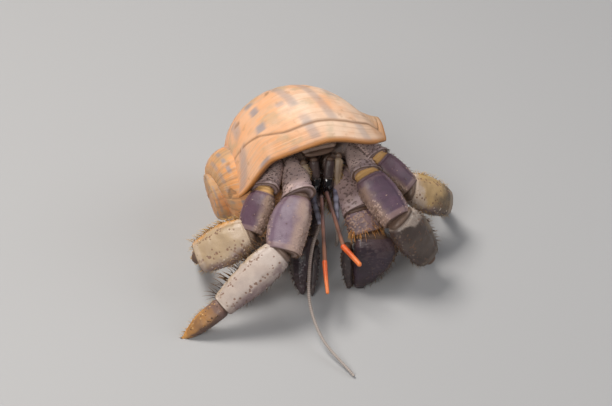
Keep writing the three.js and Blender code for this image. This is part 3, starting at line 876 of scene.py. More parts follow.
def plate_paint(name, look):
    """Colours laid one over another: each is a colour, a mask and how much of it shows. The
    edges and ends of a plate wobble with its stain, so that no colour stops at a line."""
    material, tree, shader, vector = new_material(
        name, look.get("roughness", 0.42), look.get("specular", 0.5)
    )
    stain = add_group(tree, mottle_group, Vector=vector, Size=STAIN_SIZE, Low=0.38, High=0.64)
    speck = add_group(tree, mottle_group, Vector=vector, Size=SPECK_SIZE, Low=0.35, High=0.65)
    wobble = maths(tree, "SUBTRACT", stain.outputs["Mask"], 0.5)
    wobble = maths(tree, "MULTIPLY", wobble, WOBBLE)
    upper = mask(tree, "upper")
    rise = maths(tree, "ADD", upper, wobble)
    fall = maths(tree, "ADD", maths(tree, "MULTIPLY", upper, -1.0), wobble)
    along = maths(tree, "ADD", mask(tree, "t"), wobble)
    back = maths(tree, "MULTIPLY", along, -1.0)
    layers = [
        (look["stain"], stain.outputs["Mask"], 0.8),
        (look.get("upper"), ramp(tree, rise, *look.get("upper_range", (0.55, 0.95))), EDGE_AMOUNT),
        (look.get("lower"), ramp(tree, fall, *look.get("lower_range", (0.3, 0.85))), EDGE_AMOUNT),
        (look.get("far"), ramp(tree, along, *look.get("far_range", (0.6, 0.95))), END_AMOUNT),
        (look.get("near"), ramp(tree, back, *look.get("near_range", (-0.3, -0.12))), END_AMOUNT),
        (look.get("speck", look["stain"]), ramp(tree, speck.outputs["Fine"], 0.5, 0.68), 0.35),
        (look["pit"], ramp(tree, mask(tree, "pit"), 0.05, 0.5), look.get("pit_amount", 0.85)),
        (look["grain"], ramp(tree, mask(tree, "grain"), 0.05, 0.75), 0.85),
        (look["grain"], mask(tree, "rim"), 0.35),
        (look.get("crack_colour", (0.03, 0.02, 0.015)), mask(tree, "crack"), 0.9),
        (look.get("membrane", (0.13, 0.075, 0.05)), mask(tree, "neck"), 0.9),
        (CROWN_COLOUR, mask(tree, "crown"), 0.9),
    ]
    colour = look["base"]
    for over, where, strength in layers:
        if over:
            colour = layer(tree, colour, over, where, strength)
    tree.links.new(colour, shader.inputs["Base Color"])
    coarse_specks = maths(tree, "MULTIPLY", speck.outputs["Mask"], 0.4)
    bump(tree, shader, maths(tree, "ADD", speck.outputs["Fine"], coarse_specks), 0.00005, 0.7)
    return material


print("plate tools ready")

# %% [markdown]
# ## The limbs
# The joints below are the crab's pose. Walking legs have five plates: ischium, merus,
# carpus, propodus and the claw-like dactylus. The two pincers have four, the last being
# the palm with its fixed finger. Sizes are half-heights above and below the middle line
# and half-thicknesses, each at the neck, the belly and the mouth of the plate.

# %% Sizes and joints
def sizes(high, low, thick, at=0.5, **more):
    """One plate's sizes by name."""
    return {"high": high, "low": low, "thick": thick, "at": at, **more}


TIP = {"pointed": True}
LEG = {
    "ischium": sizes((1.6, 2, 2), (1.6, 2, 2), (1.5, 1.8, 1.8)),
    "merus": sizes((1.4, 3, 3.9), (1.4, 3.2, 4), (1.4, 2.2, 2.3), 0.8),
    "carpus": sizes((2, 4.2, 2.8), (2.6, 4.3, 4.2), (1.5, 2.6, 2.4)),
    "propodus": sizes((2.8, 3.6, 2.4), (2.8, 3.7, 2.4), (2.1, 2.5, 1.7), 0.3),
    "dactylus": sizes((2, 2, 0.4), (2, 2.2, 0.5), (1.6, 1.6, 0.4), 0.3, **TIP),
}
LEG2_L = {
    **LEG,
    "merus": sizes((1.2, 2.8, 3.4), (1.2, 2.8, 3.4), (1.4, 2, 2.1), 0.8),
    "carpus": sizes((2.6, 3.6, 2.4), (2.8, 4.2, 3.6), (1.5, 2.5, 2.3)),
    "propodus": sizes((3.2, 4.6, 3.2), (3, 4, 2.8), (2.1, 2.6, 1.8), 0.4),
}
LEG3_R = {
    **LEG,
    "merus": sizes((1.4, 3.2, 3.8), (1.4, 2.6, 3.2), (1.4, 2, 2.1), 0.8),
    "carpus": sizes((2, 3.5, 2.6), (2, 3.5, 2.6), (1.4, 2.3, 2)),
    "propodus": sizes((2.8, 4.3, 3.2), (3.2, 5, 3.8), (2, 2.4, 1.8), 0.45),
    "dactylus": sizes((1.8, 1.8, 0.4), (1.8, 1.9, 0.4), (1.5, 1.5, 0.4), 0.3, **TIP),
}
LEG3_L = {
    **LEG3_R,
    "merus": sizes((1.4, 2.6, 3), (1.4, 2.6, 3), (1.4, 1.9, 2), 0.8),
    "carpus": sizes((2, 3.2, 2.6), (2, 3.2, 2.6), (1.4, 2.3, 2.1)),
    "propodus": sizes((3, 4, 3), (3, 4.2, 3.2), (2, 2.5, 1.9), 0.45),
}
CLAW_L = {
    "ischium": sizes((1.8, 2.2, 2.2), (1.8, 2.2, 2.2), (1.6, 2, 2)),
    "merus": sizes((1.8, 3.4, 3.8), (1.8, 2.8, 3.2), (1.6, 2.2, 2.2), 0.7),
    "carpus": sizes((2.6, 4.2, 4), (2.4, 2.9, 2.6), (1.8, 2.5, 2.4), 0.6),
    "palm": sizes((5, 7.4, 1.2), (1.6, 1.6, 1.2), (2.2, 3.2, 1.2), 0.25, square=0.7, **TIP),
}
CLAW_R = {
    "ischium": sizes((1.4, 1.7, 1.7), (1.4, 1.7, 1.7), (1.3, 1.5, 1.5)),
    "merus": sizes((1.3, 2, 2.1), (1.3, 1.8, 2), (1.3, 1.7, 1.7), 0.7),
    "carpus": sizes((1.7, 2.4, 2.6), (1.6, 2, 2), (1.4, 1.9, 1.9), 0.6),
    "palm": sizes((2.6, 3.4, 0.8), (1.2, 1.2, 0.6), (1.6, 2, 0.8), 0.3, **TIP),
}
print("tables of sizes ready")

# %% [markdown]
# Each limb has a name, a side, the way its broad face looks, its table of sizes, and the
# points where its plates meet, from the body outwards.

# %% The pose
LIMBS = [
    ("leg2_R", RIGHT, (-0.3, -0.65, 0.7), LEG, [
        (-1.6, -3.6, 20.4), (-3.4, -6.3, 20.9), (-2.1, -17.2, 20), (-5.5, -27.7, 14.3),
        (-17, -34.7, 6), (-25.1, -37.9, 0),
    ]),
    ("leg2_L", LEFT, (0.3, -0.65, 0.7), LEG2_L, [
        (4.6, -1.6, 20.4), (9, -1.9, 21.3), (12.1, -10.9, 21), (18.6, -20.6, 17), (25, -20.7, 6.5),
        (23.8, -11.4, 0),
    ]),
    ("leg3_R", RIGHT, (-0.5, -0.5, 0.7), LEG3_R, [
        (-3, -1, 21.4), (-6.6, -6.8, 21.3), (-8.8, -14.6, 19.8), (-11.9, -21.3, 14.1),
        (-22.6, -23.4, 9), (-24, -13, 0),
    ]),
    ("leg3_L", LEFT, (0.5, -0.5, 0.7), LEG3_L, [
        (4, 1.4, 21.4), (10.7, -1.3, 21.6), (14.6, -5.8, 21.3), (21.3, -9.4, 16),
        (30.3, -5.4, 8.5), (30, 4.5, 0),
    ]),
    ("claw_L", LEFT, (0, -0.8, 0.6), CLAW_L, [
        (4, -4.4, 19.6), (6.2, -6, 18.4), (10.2, -16.8, 15.6), (11.4, -19.8, 12.4),
        (10.9, -23.2, 0.8),
    ]),
    ("claw_R", RIGHT, (0, -0.8, 0.6), CLAW_R, [
        (-0.8, -5.8, 19.2), (0.4, -7.4, 18), (0.7, -14.2, 14.4), (-0.2, -18.4, 10.8),
        (-1.1, -25.9, 1.6),
    ]),
]
SEGMENTS = {}
for limb, side, face, table, joints in LIMBS:
    for i, (part, its_sizes) in enumerate(table.items()):
        SEGMENTS[f"{limb}_{part}"] = {
            "from": joints[i], "to": joints[i + 1], "face": face, "side": side, **its_sizes,
        }
FINGER = {"face": (0, -0.8, 0.6), **TIP}
SEGMENTS["claw_L_finger"] = {
    "from": (8.3, -20.6, 9), "to": (8.6, -23.3, 0.6), "side": LEFT, **FINGER,
    **sizes((1, 1.2, 0.7), (1, 1.4, 0.6), (1.6, 1.9, 0.7), 0.3),
}
SEGMENTS["claw_R_finger"] = {
    "from": (1.7, -19.6, 9), "to": (0.9, -26, 1.2), "side": RIGHT, **FINGER,
    **sizes((0.7, 0.8, 0.4), (0.7, 0.9, 0.4), (1, 1.2, 0.5), 0.3),
}
print("plates:", len(SEGMENTS))

# %% [markdown]
# ## How each plate looks
# The upper plates are mauve-brown with dark granules, the carpus is smooth and purple
# with a tan, toothed edge, the propodus is pale tan with brown pits, and the last plate
# runs from dull brown at its root to orange. The big claw is the darkest part.

# %% Where granules and pits may lie
everywhere = lambda p: np.ones_like(p["t"])
outer_face = lambda p: smoothstep(p["outer"], -0.2, 0.5)
upper_half = lambda p: smoothstep(p["upper"], -0.2, 0.6)
far_third = lambda p: smoothstep(p["t"], 0.45, 0.8)
edges = lambda p: smoothstep(np.abs(p["upper"]), 0.5, 0.9)
pit_rows = lambda p: smoothstep(np.cos(6 * p["angle"]), 0.3, 0.8)

print("places named")

# %% Looks by kind of plate
LOOK = {
    "ischium": dict(
        base=(0.34, 0.24, 0.19), stain=(0.24, 0.17, 0.16), grain=(0.42, 0.30, 0.24),
        pit=(0.10, 0.06, 0.04),
        grains=[(90, 0.22, everywhere)], rows=60, sides=80, lumps=0.3,
    ),
    "merus": dict(
        base=(0.68, 0.50, 0.45), stain=(0.50, 0.37, 0.36), grain=(0.13, 0.08, 0.07),
        pit=(0.10, 0.06, 0.04),
        upper=(0.70, 0.51, 0.41), far=(0.46, 0.34, 0.35), far_range=(0.75, 1.0),
        grains=[(260, 0.20, everywhere), (110, 0.30, upper_half)], grain_height=0.09,
        teeth=[(0.0, 0.9, 0.30, 0.2, 0.98)], tooth_height=0.22, keel=0.16, lumps=0.6,
    ),
    "carpus": dict(
        base=(0.20, 0.135, 0.175), stain=(0.13, 0.085, 0.12), grain=(0.40, 0.27, 0.22),
        pit=(0.06, 0.04, 0.05),
        lower=(0.34, 0.23, 0.17), upper=(0.22, 0.15, 0.16), near=(0.15, 0.09, 0.11),
        grains=[(220, 0.20, lambda p: edges(p) * far_third(p)), (30, 0.13, everywhere)],
        teeth=[(math.pi, 0.85, 0.34, 0.3, 1.0), (0.0, 1.1, 0.3, 0.4, 0.98)], tooth_height=0.25,
        lumps=0.3, keel=0.1, trough=0.18, roughness=0.45, specular=0.4,
    ),
    "propodus": dict(
        base=(0.53, 0.43, 0.37), stain=(0.42, 0.33, 0.29), grain=(0.55, 0.45, 0.37),
        pit=(0.20, 0.10, 0.06),
        upper=(0.50, 0.37, 0.24), lower=(0.22, 0.145, 0.15), lower_range=(0.55, 0.95),
        near=(0.54, 0.45, 0.40),
        grains=[(60, 0.22, edges)],
        pits=[(44, 0.24, lambda p: outer_face(p) * pit_rows(p)), (46, 0.20, everywhere)],
        teeth=[(0.0, 1.0, 0.28, 0.15, 0.95)], tooth_height=0.16, pit_depth=0.08, lumps=0.5,
        keel=0.1, trough=0.22,
    ),
    "dactylus": dict(
        base=(0.42, 0.20, 0.06), stain=(0.22, 0.12, 0.07), grain=(0.55, 0.32, 0.12),
        pit=(0.09, 0.045, 0.03),
        lower=(0.09, 0.05, 0.04), near=(0.17, 0.10, 0.09), far=(0.62, 0.28, 0.06), far_range=(0.8, 1.0),
        upper=(0.58, 0.27, 0.07), pits=[(60, 0.20, pit_rows), (20, 0.16, everywhere)],
        grains=[(40, 0.2, upper_half)],
        lumps=0.35, keel=0.06, trough=0.12,
    ),
    "palm": dict(
        base=(0.046, 0.027, 0.040), stain=(0.028, 0.016, 0.024), grain=(0.075, 0.048, 0.055),
        pit=(0.02, 0.012, 0.012),
        upper=(0.24, 0.13, 0.07), upper_range=(0.8, 1.0), far=(0.04, 0.025, 0.025),
        near=(0.10, 0.065, 0.07),
        grains=[(260, 0.20, everywhere), (90, 0.28, upper_half)], grain_height=0.08,
        teeth=[(0.0, 0.95, 0.4, 0.1, 0.95)], tooth_height=0.35, lumps=0.5, rows=170, sides=150,
        roughness=0.34,
    ),
    "finger": dict(
        base=(0.06, 0.045, 0.045), stain=(0.035, 0.025, 0.025), grain=(0.12, 0.085, 0.075),
        pit=(0.02, 0.012, 0.012),
        grains=[(150, 0.2, everywhere)], teeth=[(math.pi, 0.8, 0.3, 0.2, 0.9)], lumps=0.3, rows=90,
        sides=80,
    ),
}
print("kinds of plate:", len(LOOK))

# %% Where one plate differs from its kind
DIFFERS = {
    "leg2_R_carpus": dict(
        base=(0.205, 0.14, 0.185), stain=(0.145, 0.095, 0.135), lower=(0.40, 0.28, 0.23),
        lower_range=(0.1, 0.7),
    ),
    "leg3_R_carpus": dict(
        membrane=(0.62, 0.36, 0.13), soft=0.13, base=(0.12, 0.065, 0.095),
        stain=(0.085, 0.045, 0.065), upper=(0.17, 0.09, 0.10),
    ),
    "leg2_L_carpus": dict(
        membrane=(0.62, 0.36, 0.13), soft=0.13, base=(0.10, 0.055, 0.085),
        stain=(0.065, 0.04, 0.06), lower=(0.26, 0.17, 0.13),
    ),
    "leg3_L_carpus": dict(
        membrane=(0.62, 0.36, 0.13), soft=0.13, base=(0.12, 0.065, 0.09), stain=(0.08, 0.045, 0.065),
    ),
    "leg3_R_propodus": dict(
        base=(0.46, 0.33, 0.20), stain=(0.38, 0.27, 0.17), upper=(0.60, 0.28, 0.06),
        near=(0.50, 0.38, 0.28),
    ),
    # Painted shade: this propodus is painted dark brown all over but its near end, which keeps the pale tan
    # of the other propodi, as the leg stands in shadow.
    "leg2_L_propodus": dict(
        grain=(0.20, 0.15, 0.11), speck=(0.10, 0.07, 0.06), pit_amount=0.5,
        base=(0.095, 0.068, 0.055), stain=(0.065, 0.045, 0.038), upper=(0.22, 0.16, 0.11),
        near=(0.46, 0.37, 0.31), near_range=(-0.2, -0.08), far=(0.05, 0.035, 0.03),
        lower=(0.08, 0.05, 0.045),
    ),
    # Painted shade: the far half of this propodus is painted almost black, for its end that is turned away
    # from the light.
    "leg3_L_propodus": dict(
        base=(0.56, 0.37, 0.17), stain=(0.42, 0.27, 0.13), upper=(0.60, 0.40, 0.16),
        far=(0.06, 0.045, 0.035), far_range=(0.45, 0.9), near=(0.56, 0.44, 0.36),
    ),
    "leg2_L_merus": dict(base=(0.64, 0.48, 0.44), stain=(0.50, 0.37, 0.34)),
    "claw_L_merus": dict(
        base=(0.42, 0.29, 0.27), stain=(0.29, 0.20, 0.20), grains=[(380, 0.24, everywhere)],
    ),
    "claw_L_carpus": dict(
        base=(0.24, 0.155, 0.155), stain=(0.15, 0.10, 0.11), lower=(0.12, 0.08, 0.08),
        grains=[(300, 0.26, everywhere)], grain=(0.33, 0.21, 0.16),
    ),
    # Painted shade: the small right claw hangs in the shadow under the head, so its ischium, merus and
    # carpus and its palm's upper edge are painted much darker than the big claw's.
    "claw_R_merus": dict(base=(0.10, 0.065, 0.06), stain=(0.06, 0.04, 0.04)),
    "claw_R_carpus": dict(
        base=(0.07, 0.045, 0.045), stain=(0.04, 0.03, 0.03), lower=(0.05, 0.03, 0.03),
        grain=(0.15, 0.10, 0.08),
    ),
    "claw_R_palm": dict(
        base=(0.05, 0.035, 0.035), grains=[(260, 0.2, everywhere)], upper=(0.12, 0.08, 0.06),
        rows=120, sides=100,
    ),
    "claw_R_ischium": dict(base=(0.10, 0.07, 0.06)),
}
PLATE_SLOTS = {"dactylus": "limb_tip", "propodus": "limb_pale"}
print("plates that differ:", len(DIFFERS))

# %% [markdown]
# Every plate is now carved, clipped at the floor, closed and painted. Each has its own
# random numbers, so that a change to one leaves the others as they are.

# %% Build every plate
PLATES = {}
for number, (name, seg) in enumerate(SEGMENTS.items()):
    kind = name.split("_")[-1]
    look = {**LOOK[kind], **DIFFERS.get(name, {}), "seed": 40 + number}
    plate = carve(seg, np.random.default_rng(100 + number), look)
    rings = plate["carved"]
    rings[..., 2] = np.maximum(rings[..., 2], 0.0)
    piece = closed_skin(name + "_plate", rings, plate["masks"])
    wear(piece, name, plate_paint(name + "_paint", look))
    PLATES[name] = plate
print(
    "plates built:", len(PLATES), "points:",
    sum(p["carved"].shape[0] * p["carved"].shape[1] for p in PLATES.values()),
)

# %% [markdown]
# ## The head and the hidden parts
# The head is small and sits in the shell's shade: a shield with its neck furrow, two
# stalked eyes, a spiny scale beside each feeler's root and the bristly mouth legs below.
# The stalks and plates use the same carving as the limbs. The eyes are smooth and wet, so
# they stay bare ovals with a hard shine.

# %% Head plates
HEAD_FRONT = np.array([2.7, -9.2, 25.0])
HEAD_FORWARD = unit([0.31, -0.85, -0.42])
HEAD_LEFT = unit([0.94, 0.34, 0])
HEAD_UP = np.cross(HEAD_FORWARD, HEAD_LEFT)


def near_head(forward, left, up):
    """A point so many millimetres forward, left and up from the head's front edge."""
    return HEAD_FRONT + forward * HEAD_FORWARD + left * HEAD_LEFT + up * HEAD_UP


FACE = (0, -0.8, 0.6)
OVAL = {"pointed": True}
SCALE = sizes((0.8, 0.8, 0.35), (0.8, 0.8, 0.35), (0.5, 0.6, 0.35), face=FACE, **OVAL)
MOUTH_LEG = sizes((0.9, 1, 0.8), (0.9, 1, 0.8), (1, 1.1, 0.8), face=FACE, **OVAL)
SMALL_LEG = sizes((1.3, 1.5, 1), (1.3, 1.5, 1), (1, 1.1, 0.9), **OVAL)
HEAD_PARTS = {
    "carapace_shield": sizes(
        (3.4, 4.3, 3.8), (3.4, 4.3, 3.8), (0.7, 1.2, 0.8), caps=(0.8, 1.0), side=RIGHT, face=HEAD_UP, **OVAL
    ) | {"from": near_head(-0.6, 0, -0.6), "to": near_head(-9.6, 0, -0.4)},
    "thorax": sizes((2.8, 4, 3.6), (2.8, 4, 3.6), (2.2, 2.6, 2.4), side=RIGHT, face=HEAD_UP, **OVAL)
    | {"from": near_head(-2.6, 0, -3.6), "to": near_head(-9.6, 0, -3.6)},
    "antenna_scale_R": SCALE | {"from": (-0.9, -10.2, 22.8), "to": (0.1, -12.4, 20.6), "side": RIGHT},
    "antenna_scale_L": SCALE | {"from": (6.4, -8.3, 23.2), "to": (6.1, -11, 18.6), "side": LEFT},
    "maxilliped_R": MOUTH_LEG | {"from": (2.7, -7, 16.6), "to": (2.6, -11.4, 12), "side": RIGHT},
    "maxilliped_L": MOUTH_LEG | {"from": (5, -7, 16.6), "to": (4.9, -11.4, 12), "side": LEFT},
    "leg4_R": SMALL_LEG | {
        "from": (-4.6, 1.6, 22), "to": (-5.2, 6.4, 16.5), "face": (-1, 0, 0), "side": RIGHT,
    },
    "leg4_L": SMALL_LEG | {
        "from": (3, 5, 21.4), "to": (1.8, 9.2, 16.4), "face": (1, 0, 0), "side": LEFT,
    },
}
# The soft underside where the limbs join: it has no node of its own and rides with them.
LIMB_BASES = sizes((2.1, 2.3, 2.1), (2.1, 2.3, 2.1), (2, 2.2, 2), side=RIGHT, face=HEAD_UP, **OVAL)
HEAD_PARTS["limb_bases"] = LIMB_BASES | {"from": (2.2, -3.2, 17.2), "to": (9.2, -1.9, 17.8)}
EYE_STARTS = 0.66
for letter, side, start, tip in (
    ("R", RIGHT, (1.2, -9.3, 23.2), (1.7, -11.7, 17.5)),
    ("L", LEFT, (4.6, -9, 23.2), (4, -11.7, 17.5)),
):
    middle = np.array(start) + EYE_STARTS * (np.array(tip) - np.array(start))
    shared = {"face": (0, -0.9, 0.3), "side": side}
    HEAD_PARTS[f"eyestalk_{letter}"] = sizes(
        (0.9, 1.1, 1.1), (0.9, 1.1, 1.1), (0.7, 0.8, 0.8), caps=(0.6, 0.1), **shared, **OVAL
    ) | {"from": start, "to": middle}
    HEAD_PARTS[f"eye_{letter}"] = sizes(
        (1.05, 1.1, 0.9), (1.05, 1.1, 0.9), (0.9, 1, 0.8), caps=(0.1, 0.9), **shared, **OVAL
    ) | {"from": middle, "to": tip}


def neck_furrow(p):
    """A dark line across the shield that bends back at the middle, and one down each side."""
    across = np.exp(-(((p["t"] - 0.52 - 0.22 * (1 - np.abs(p["upper"])) ** 2) / 0.022) ** 2))
    along = np.exp(-(((np.abs(p["upper"]) - 0.62) / 0.04) ** 2)) * smoothstep(p["t"], 0.55, 0.65)
    return np.maximum(across, 0.8 * along) * (p["outer"] > 0)


def stalk_band(p):
    """A line round the stalk just before the eye."""
    return np.exp(-(((p["t"] - 0.93) / 0.03) ** 2))


print("head parts placed:", len(HEAD_PARTS))

# %% [markdown]
# The head's parts are painted like the limbs. The eye has no stain at all: it is almost
# black, and a clear coat gives it the hard, wet shine.

# %% Looks of the head
HEAD_LOOK = {
    "shield": dict(
        base=(0.54, 0.37, 0.29), stain=(0.34, 0.22, 0.17), grain=(0.60, 0.44, 0.34),
        pit=(0.16, 0.08, 0.06),
        grains=[(240, 0.2, everywhere)], grain_height=0.07, crack=neck_furrow,
        crack_colour=(0.12, 0.06, 0.045),
        lumps=0.5, rows=130, sides=120, roughness=0.4,
    ),
    "thorax": dict(
        base=(0.16, 0.10, 0.085), stain=(0.10, 0.065, 0.06), grain=(0.2, 0.13, 0.1),
        pit=(0.05, 0.03, 0.03), rows=50, sides=60,
    ),
    "bases": dict(
        base=(0.13, 0.08, 0.065), stain=(0.08, 0.05, 0.045), grain=(0.16, 0.1, 0.08),
        pit=(0.05, 0.03, 0.03), rows=40, sides=48,
    ),
    "scale": dict(
        base=(0.36, 0.26, 0.17), stain=(0.24, 0.16, 0.11), grain=(0.46, 0.34, 0.22),
        pit=(0.12, 0.07, 0.05), lumps=0.1,
        teeth=[(0.0, 0.5, 0.2, 0.1, 0.95), (math.pi, 0.5, 0.2, 0.1, 0.95)], tooth_height=0.18,
        rows=60, sides=48,
    ),
    "maxilliped": dict(
        base=(0.22, 0.13, 0.09), stain=(0.13, 0.08, 0.06), grain=(0.3, 0.2, 0.14),
        pit=(0.08, 0.05, 0.04), lumps=0.1,
        grains=[(50, 0.16, everywhere)], rows=60, sides=48, keel=0.04, trough=0.04,
    ),
    "leg4": dict(
        base=(0.34, 0.20, 0.13), stain=(0.24, 0.14, 0.10), grain=(0.4, 0.27, 0.2),
        pit=(0.1, 0.06, 0.05), lumps=0.15, rows=50, sides=48,
    ),
    # The stalk is painted almost black: its own dark brown, darkened further as painted shade, since the
    # stalks stand in deep shade under the shell's lip.
    "eyestalk": dict(
        base=(0.085, 0.055, 0.05), stain=(0.045, 0.03, 0.03), grain=(0.14, 0.10, 0.08),
        pit=(0.04, 0.03, 0.03),
        upper=(0.16, 0.11, 0.09), upper_range=(0.8, 1.0), lumps=0.08, keel=0.02, trough=0.05,
        crack=stalk_band,
        grains=[(40, 0.1, everywhere)], grain_height=0.03, rows=70, sides=56, roughness=0.3,
    ),
    "eye": dict(rows=60, sides=72),
}
eye_paint, tree, shader, vector = new_material("eye_paint", 0.06, 0.7)
shader.inputs["Base Color"].default_value = (0.008, 0.006, 0.007, 1)
shader.inputs["Coat Weight"].default_value = 1.0
shader.inputs["Coat Roughness"].default_value = 0.03

print("eye paint ready")

# %% Build the head
HEAD_KINDS = ("shield", "thorax", "bases", "scale", "maxilliped", "leg4", "eyestalk", "eye")
HEAD_SLOTS = {
    "carapace_shield": "carapace", "thorax": "carapace", "leg4_R": "soft", "leg4_L": "soft",
    "eye_R": "eye", "eye_L": "eye",
}
for number, (name, seg) in enumerate(HEAD_PARTS.items()):
    kind = next(word for word in HEAD_KINDS if word in name)
    look = {**HEAD_LOOK[kind], "seed": 90 + number}
    if kind == "eye":
        plate = plate_surface(seg, look["rows"], look["sides"], inset=0.0)
        plate["carved"], plate["masks"] = plate["surface"], {}
        paint = eye_paint
    else:
        plate = carve(seg, np.random.default_rng(200 + number), look)
        paint = plate_paint(name + "_paint", look)
        PLATES[name] = plate
    rings = plate["carved"]
    piece = closed_skin(name + "_skin", rings, plate["masks"])
    wear(piece, None if kind == "bases" else name, paint)
print("head parts:", len(HEAD_PARTS))

# %% [markdown]
# ## Feelers
# A feeler is a rod of short rings along a smooth curve. The curve passes through a few
# points, and each stretch between two of them is a cubic whose slopes come from the
# spacing of its neighbours. The rings are all set out from one fixed direction, laid
# square to the curve at each of them, so the rod doesn't twist.


# %% Feeler shape
CAP_RINGS = 5
CAP_REACH = 1.2


def smooth_curve(through, at):
    """Centripetal Catmull-Rom: slopes t1, t2 from knots spaced by distance^0.5."""
    p = np.array(through, float)
    p = np.vstack([2 * p[0] - p[1], p, 2 * p[-1] - p[-2]])
    place = np.clip(at, 0, 1) * (len(through) - 1)
    i = np.minimum(place.astype(int), len(through) - 2)
    w = (place - i)[:, None]
    p0, p1, p2, p3 = (p[i + k] for k in range(4))
    gap = np.sqrt(np.linalg.norm(np.diff(p, axis=0), axis=1))
    d0, d1, d2 = (gap[i + k][:, None] for k in range(3))
    t1 = d1 * ((p1 - p0) / d0 - (p2 - p0) / (d0 + d1) + (p2 - p1) / d1)
    t2 = d1 * ((p2 - p1) / d1 - (p3 - p1) / (d1 + d2) + (p3 - p2) / d2)
    return p1 + w * t1 + w**2 * (-3 * p1 + 3 * p2 - 2 * t1 - t2) + w**3 * (2 * p1 - 2 * p2 + t1 + t2)


def feeler_rings(through, radii, ring_length, swelling, sides=16):
    """Rings of radius r(s) (1 + swelling |cos(pi s / ring_length)|^3) round the curve, with
    round ends a little longer than the solid's."""
    steps = np.linspace(0, 1, 400)
    rough = smooth_curve(through, steps)
    arc = np.concatenate([[0], np.cumsum(np.linalg.norm(np.diff(rough, axis=0), axis=1))])
    s = np.linspace(0, arc[-1], max(24, int(arc[-1] / ring_length * 6)))
    at = np.interp(s, arc, steps)
    middle = smooth_curve(through, at)
    tangent = np.gradient(middle, axis=0)
    tangent /= np.linalg.norm(tangent, axis=1, keepdims=True)
    radius = radii[0] + (radii[1] - radii[0]) * at
    radius = radius * (1 + swelling * np.abs(np.cos(math.pi * s / ring_length)) ** 3)
    b = np.sqrt(1 - np.linspace(0.95, 0.1, CAP_RINGS) ** 2)
    reach = CAP_REACH * np.sqrt(1 - b**2)[:, None]
    start = middle[0] - tangent[0] * radius[0] * reach
    end = middle[-1] + tangent[-1] * radius[-1] * reach[::-1]
    middle = np.vstack([start, middle, end])
    first_way, last_way = (np.tile(tangent[k], (CAP_RINGS, 1)) for k in (0, -1))
    tangent = np.vstack([first_way, tangent, last_way])
    radius = np.concatenate([radius[0] * b, radius, radius[-1] * b[::-1]])
    joint = np.abs(np.sin(math.pi * s / ring_length)) ** 6
    joint = np.concatenate([np.zeros(CAP_RINGS), joint, np.zeros(CAP_RINGS)])
    first = unit(np.cross(tangent.mean(0), [0.3, 0.2, 1.0]))
    across = first - tangent * (tangent @ first)[:, None]
    across /= np.linalg.norm(across, axis=1, keepdims=True)
    other = np.cross(tangent, across)
    a = np.linspace(0, 2 * math.pi, sides, endpoint=False)
    rings = middle[:, None] + radius[:, None, None] * (
        np.cos(a)[None, :, None] * across[:, None] + np.sin(a)[None, :, None] * other[:, None]
    )
    along = np.concatenate([np.zeros(CAP_RINGS), at, np.ones(CAP_RINGS)])
    return rings, along, joint


def feeler_paint(name, base, stain, joint_colour, far=None, roughness=0.4):
    """Ringed skin: a stained ground, a darker line at each joint, another colour far out."""
    material, tree, shader, vector = new_material(name, roughness, 0.5)
    stains = add_group(tree, mottle_group, Vector=vector, Size=500.0, Low=0.4, High=0.6)
    colour = layer(tree, base, stain, stains.outputs["Mask"], 0.8)
    if far:
        colour = layer(tree, colour, far, ramp(tree, mask(tree, "t"), 0.35, 0.8), 0.9)
    colour = layer(tree, colour, joint_colour, mask(tree, "joint"), 0.75)
    tree.links.new(colour, shader.inputs["Base Color"])
    bump(tree, shader, stains.outputs["Fine"], 0.00003, 0.6)
    return material


print("feeler shape ready")

# %% Feeler paints
LAVENDER = feeler_paint(
    "feeler_base_paint", (0.27, 0.27, 0.38), (0.16, 0.13, 0.19), (0.08, 0.06, 0.08),
    (0.36, 0.35, 0.43),
)
PALE = feeler_paint(
    "flagellum_paint", (0.36, 0.29, 0.25), (0.25, 0.19, 0.165), (0.13, 0.09, 0.08),
    (0.46, 0.40, 0.36),
)
PINK = feeler_paint(
    "stalk_paint", (0.20, 0.095, 0.075), (0.13, 0.06, 0.055), (0.07, 0.035, 0.03),
    (0.28, 0.12, 0.07),
)
CORAL = feeler_paint(
    "coral_paint", (0.82, 0.15, 0.03), (0.66, 0.09, 0.02), (0.36, 0.05, 0.015), (0.90, 0.24, 0.06),
    0.3,
)
DUSK = feeler_paint("antennule_base_paint", (0.15, 0.09, 0.08), (0.09, 0.055, 0.05), (0.05, 0.03, 0.03))
print("feeler paints ready")

# %% [markdown]
# Each feeler has a stout base, a long thin part and, on the small pair, a coral tip. A
# row of the table gives its paint and its slot, the length of its rings, how much they
# swell, its radius at each end and the points that its curve goes through.

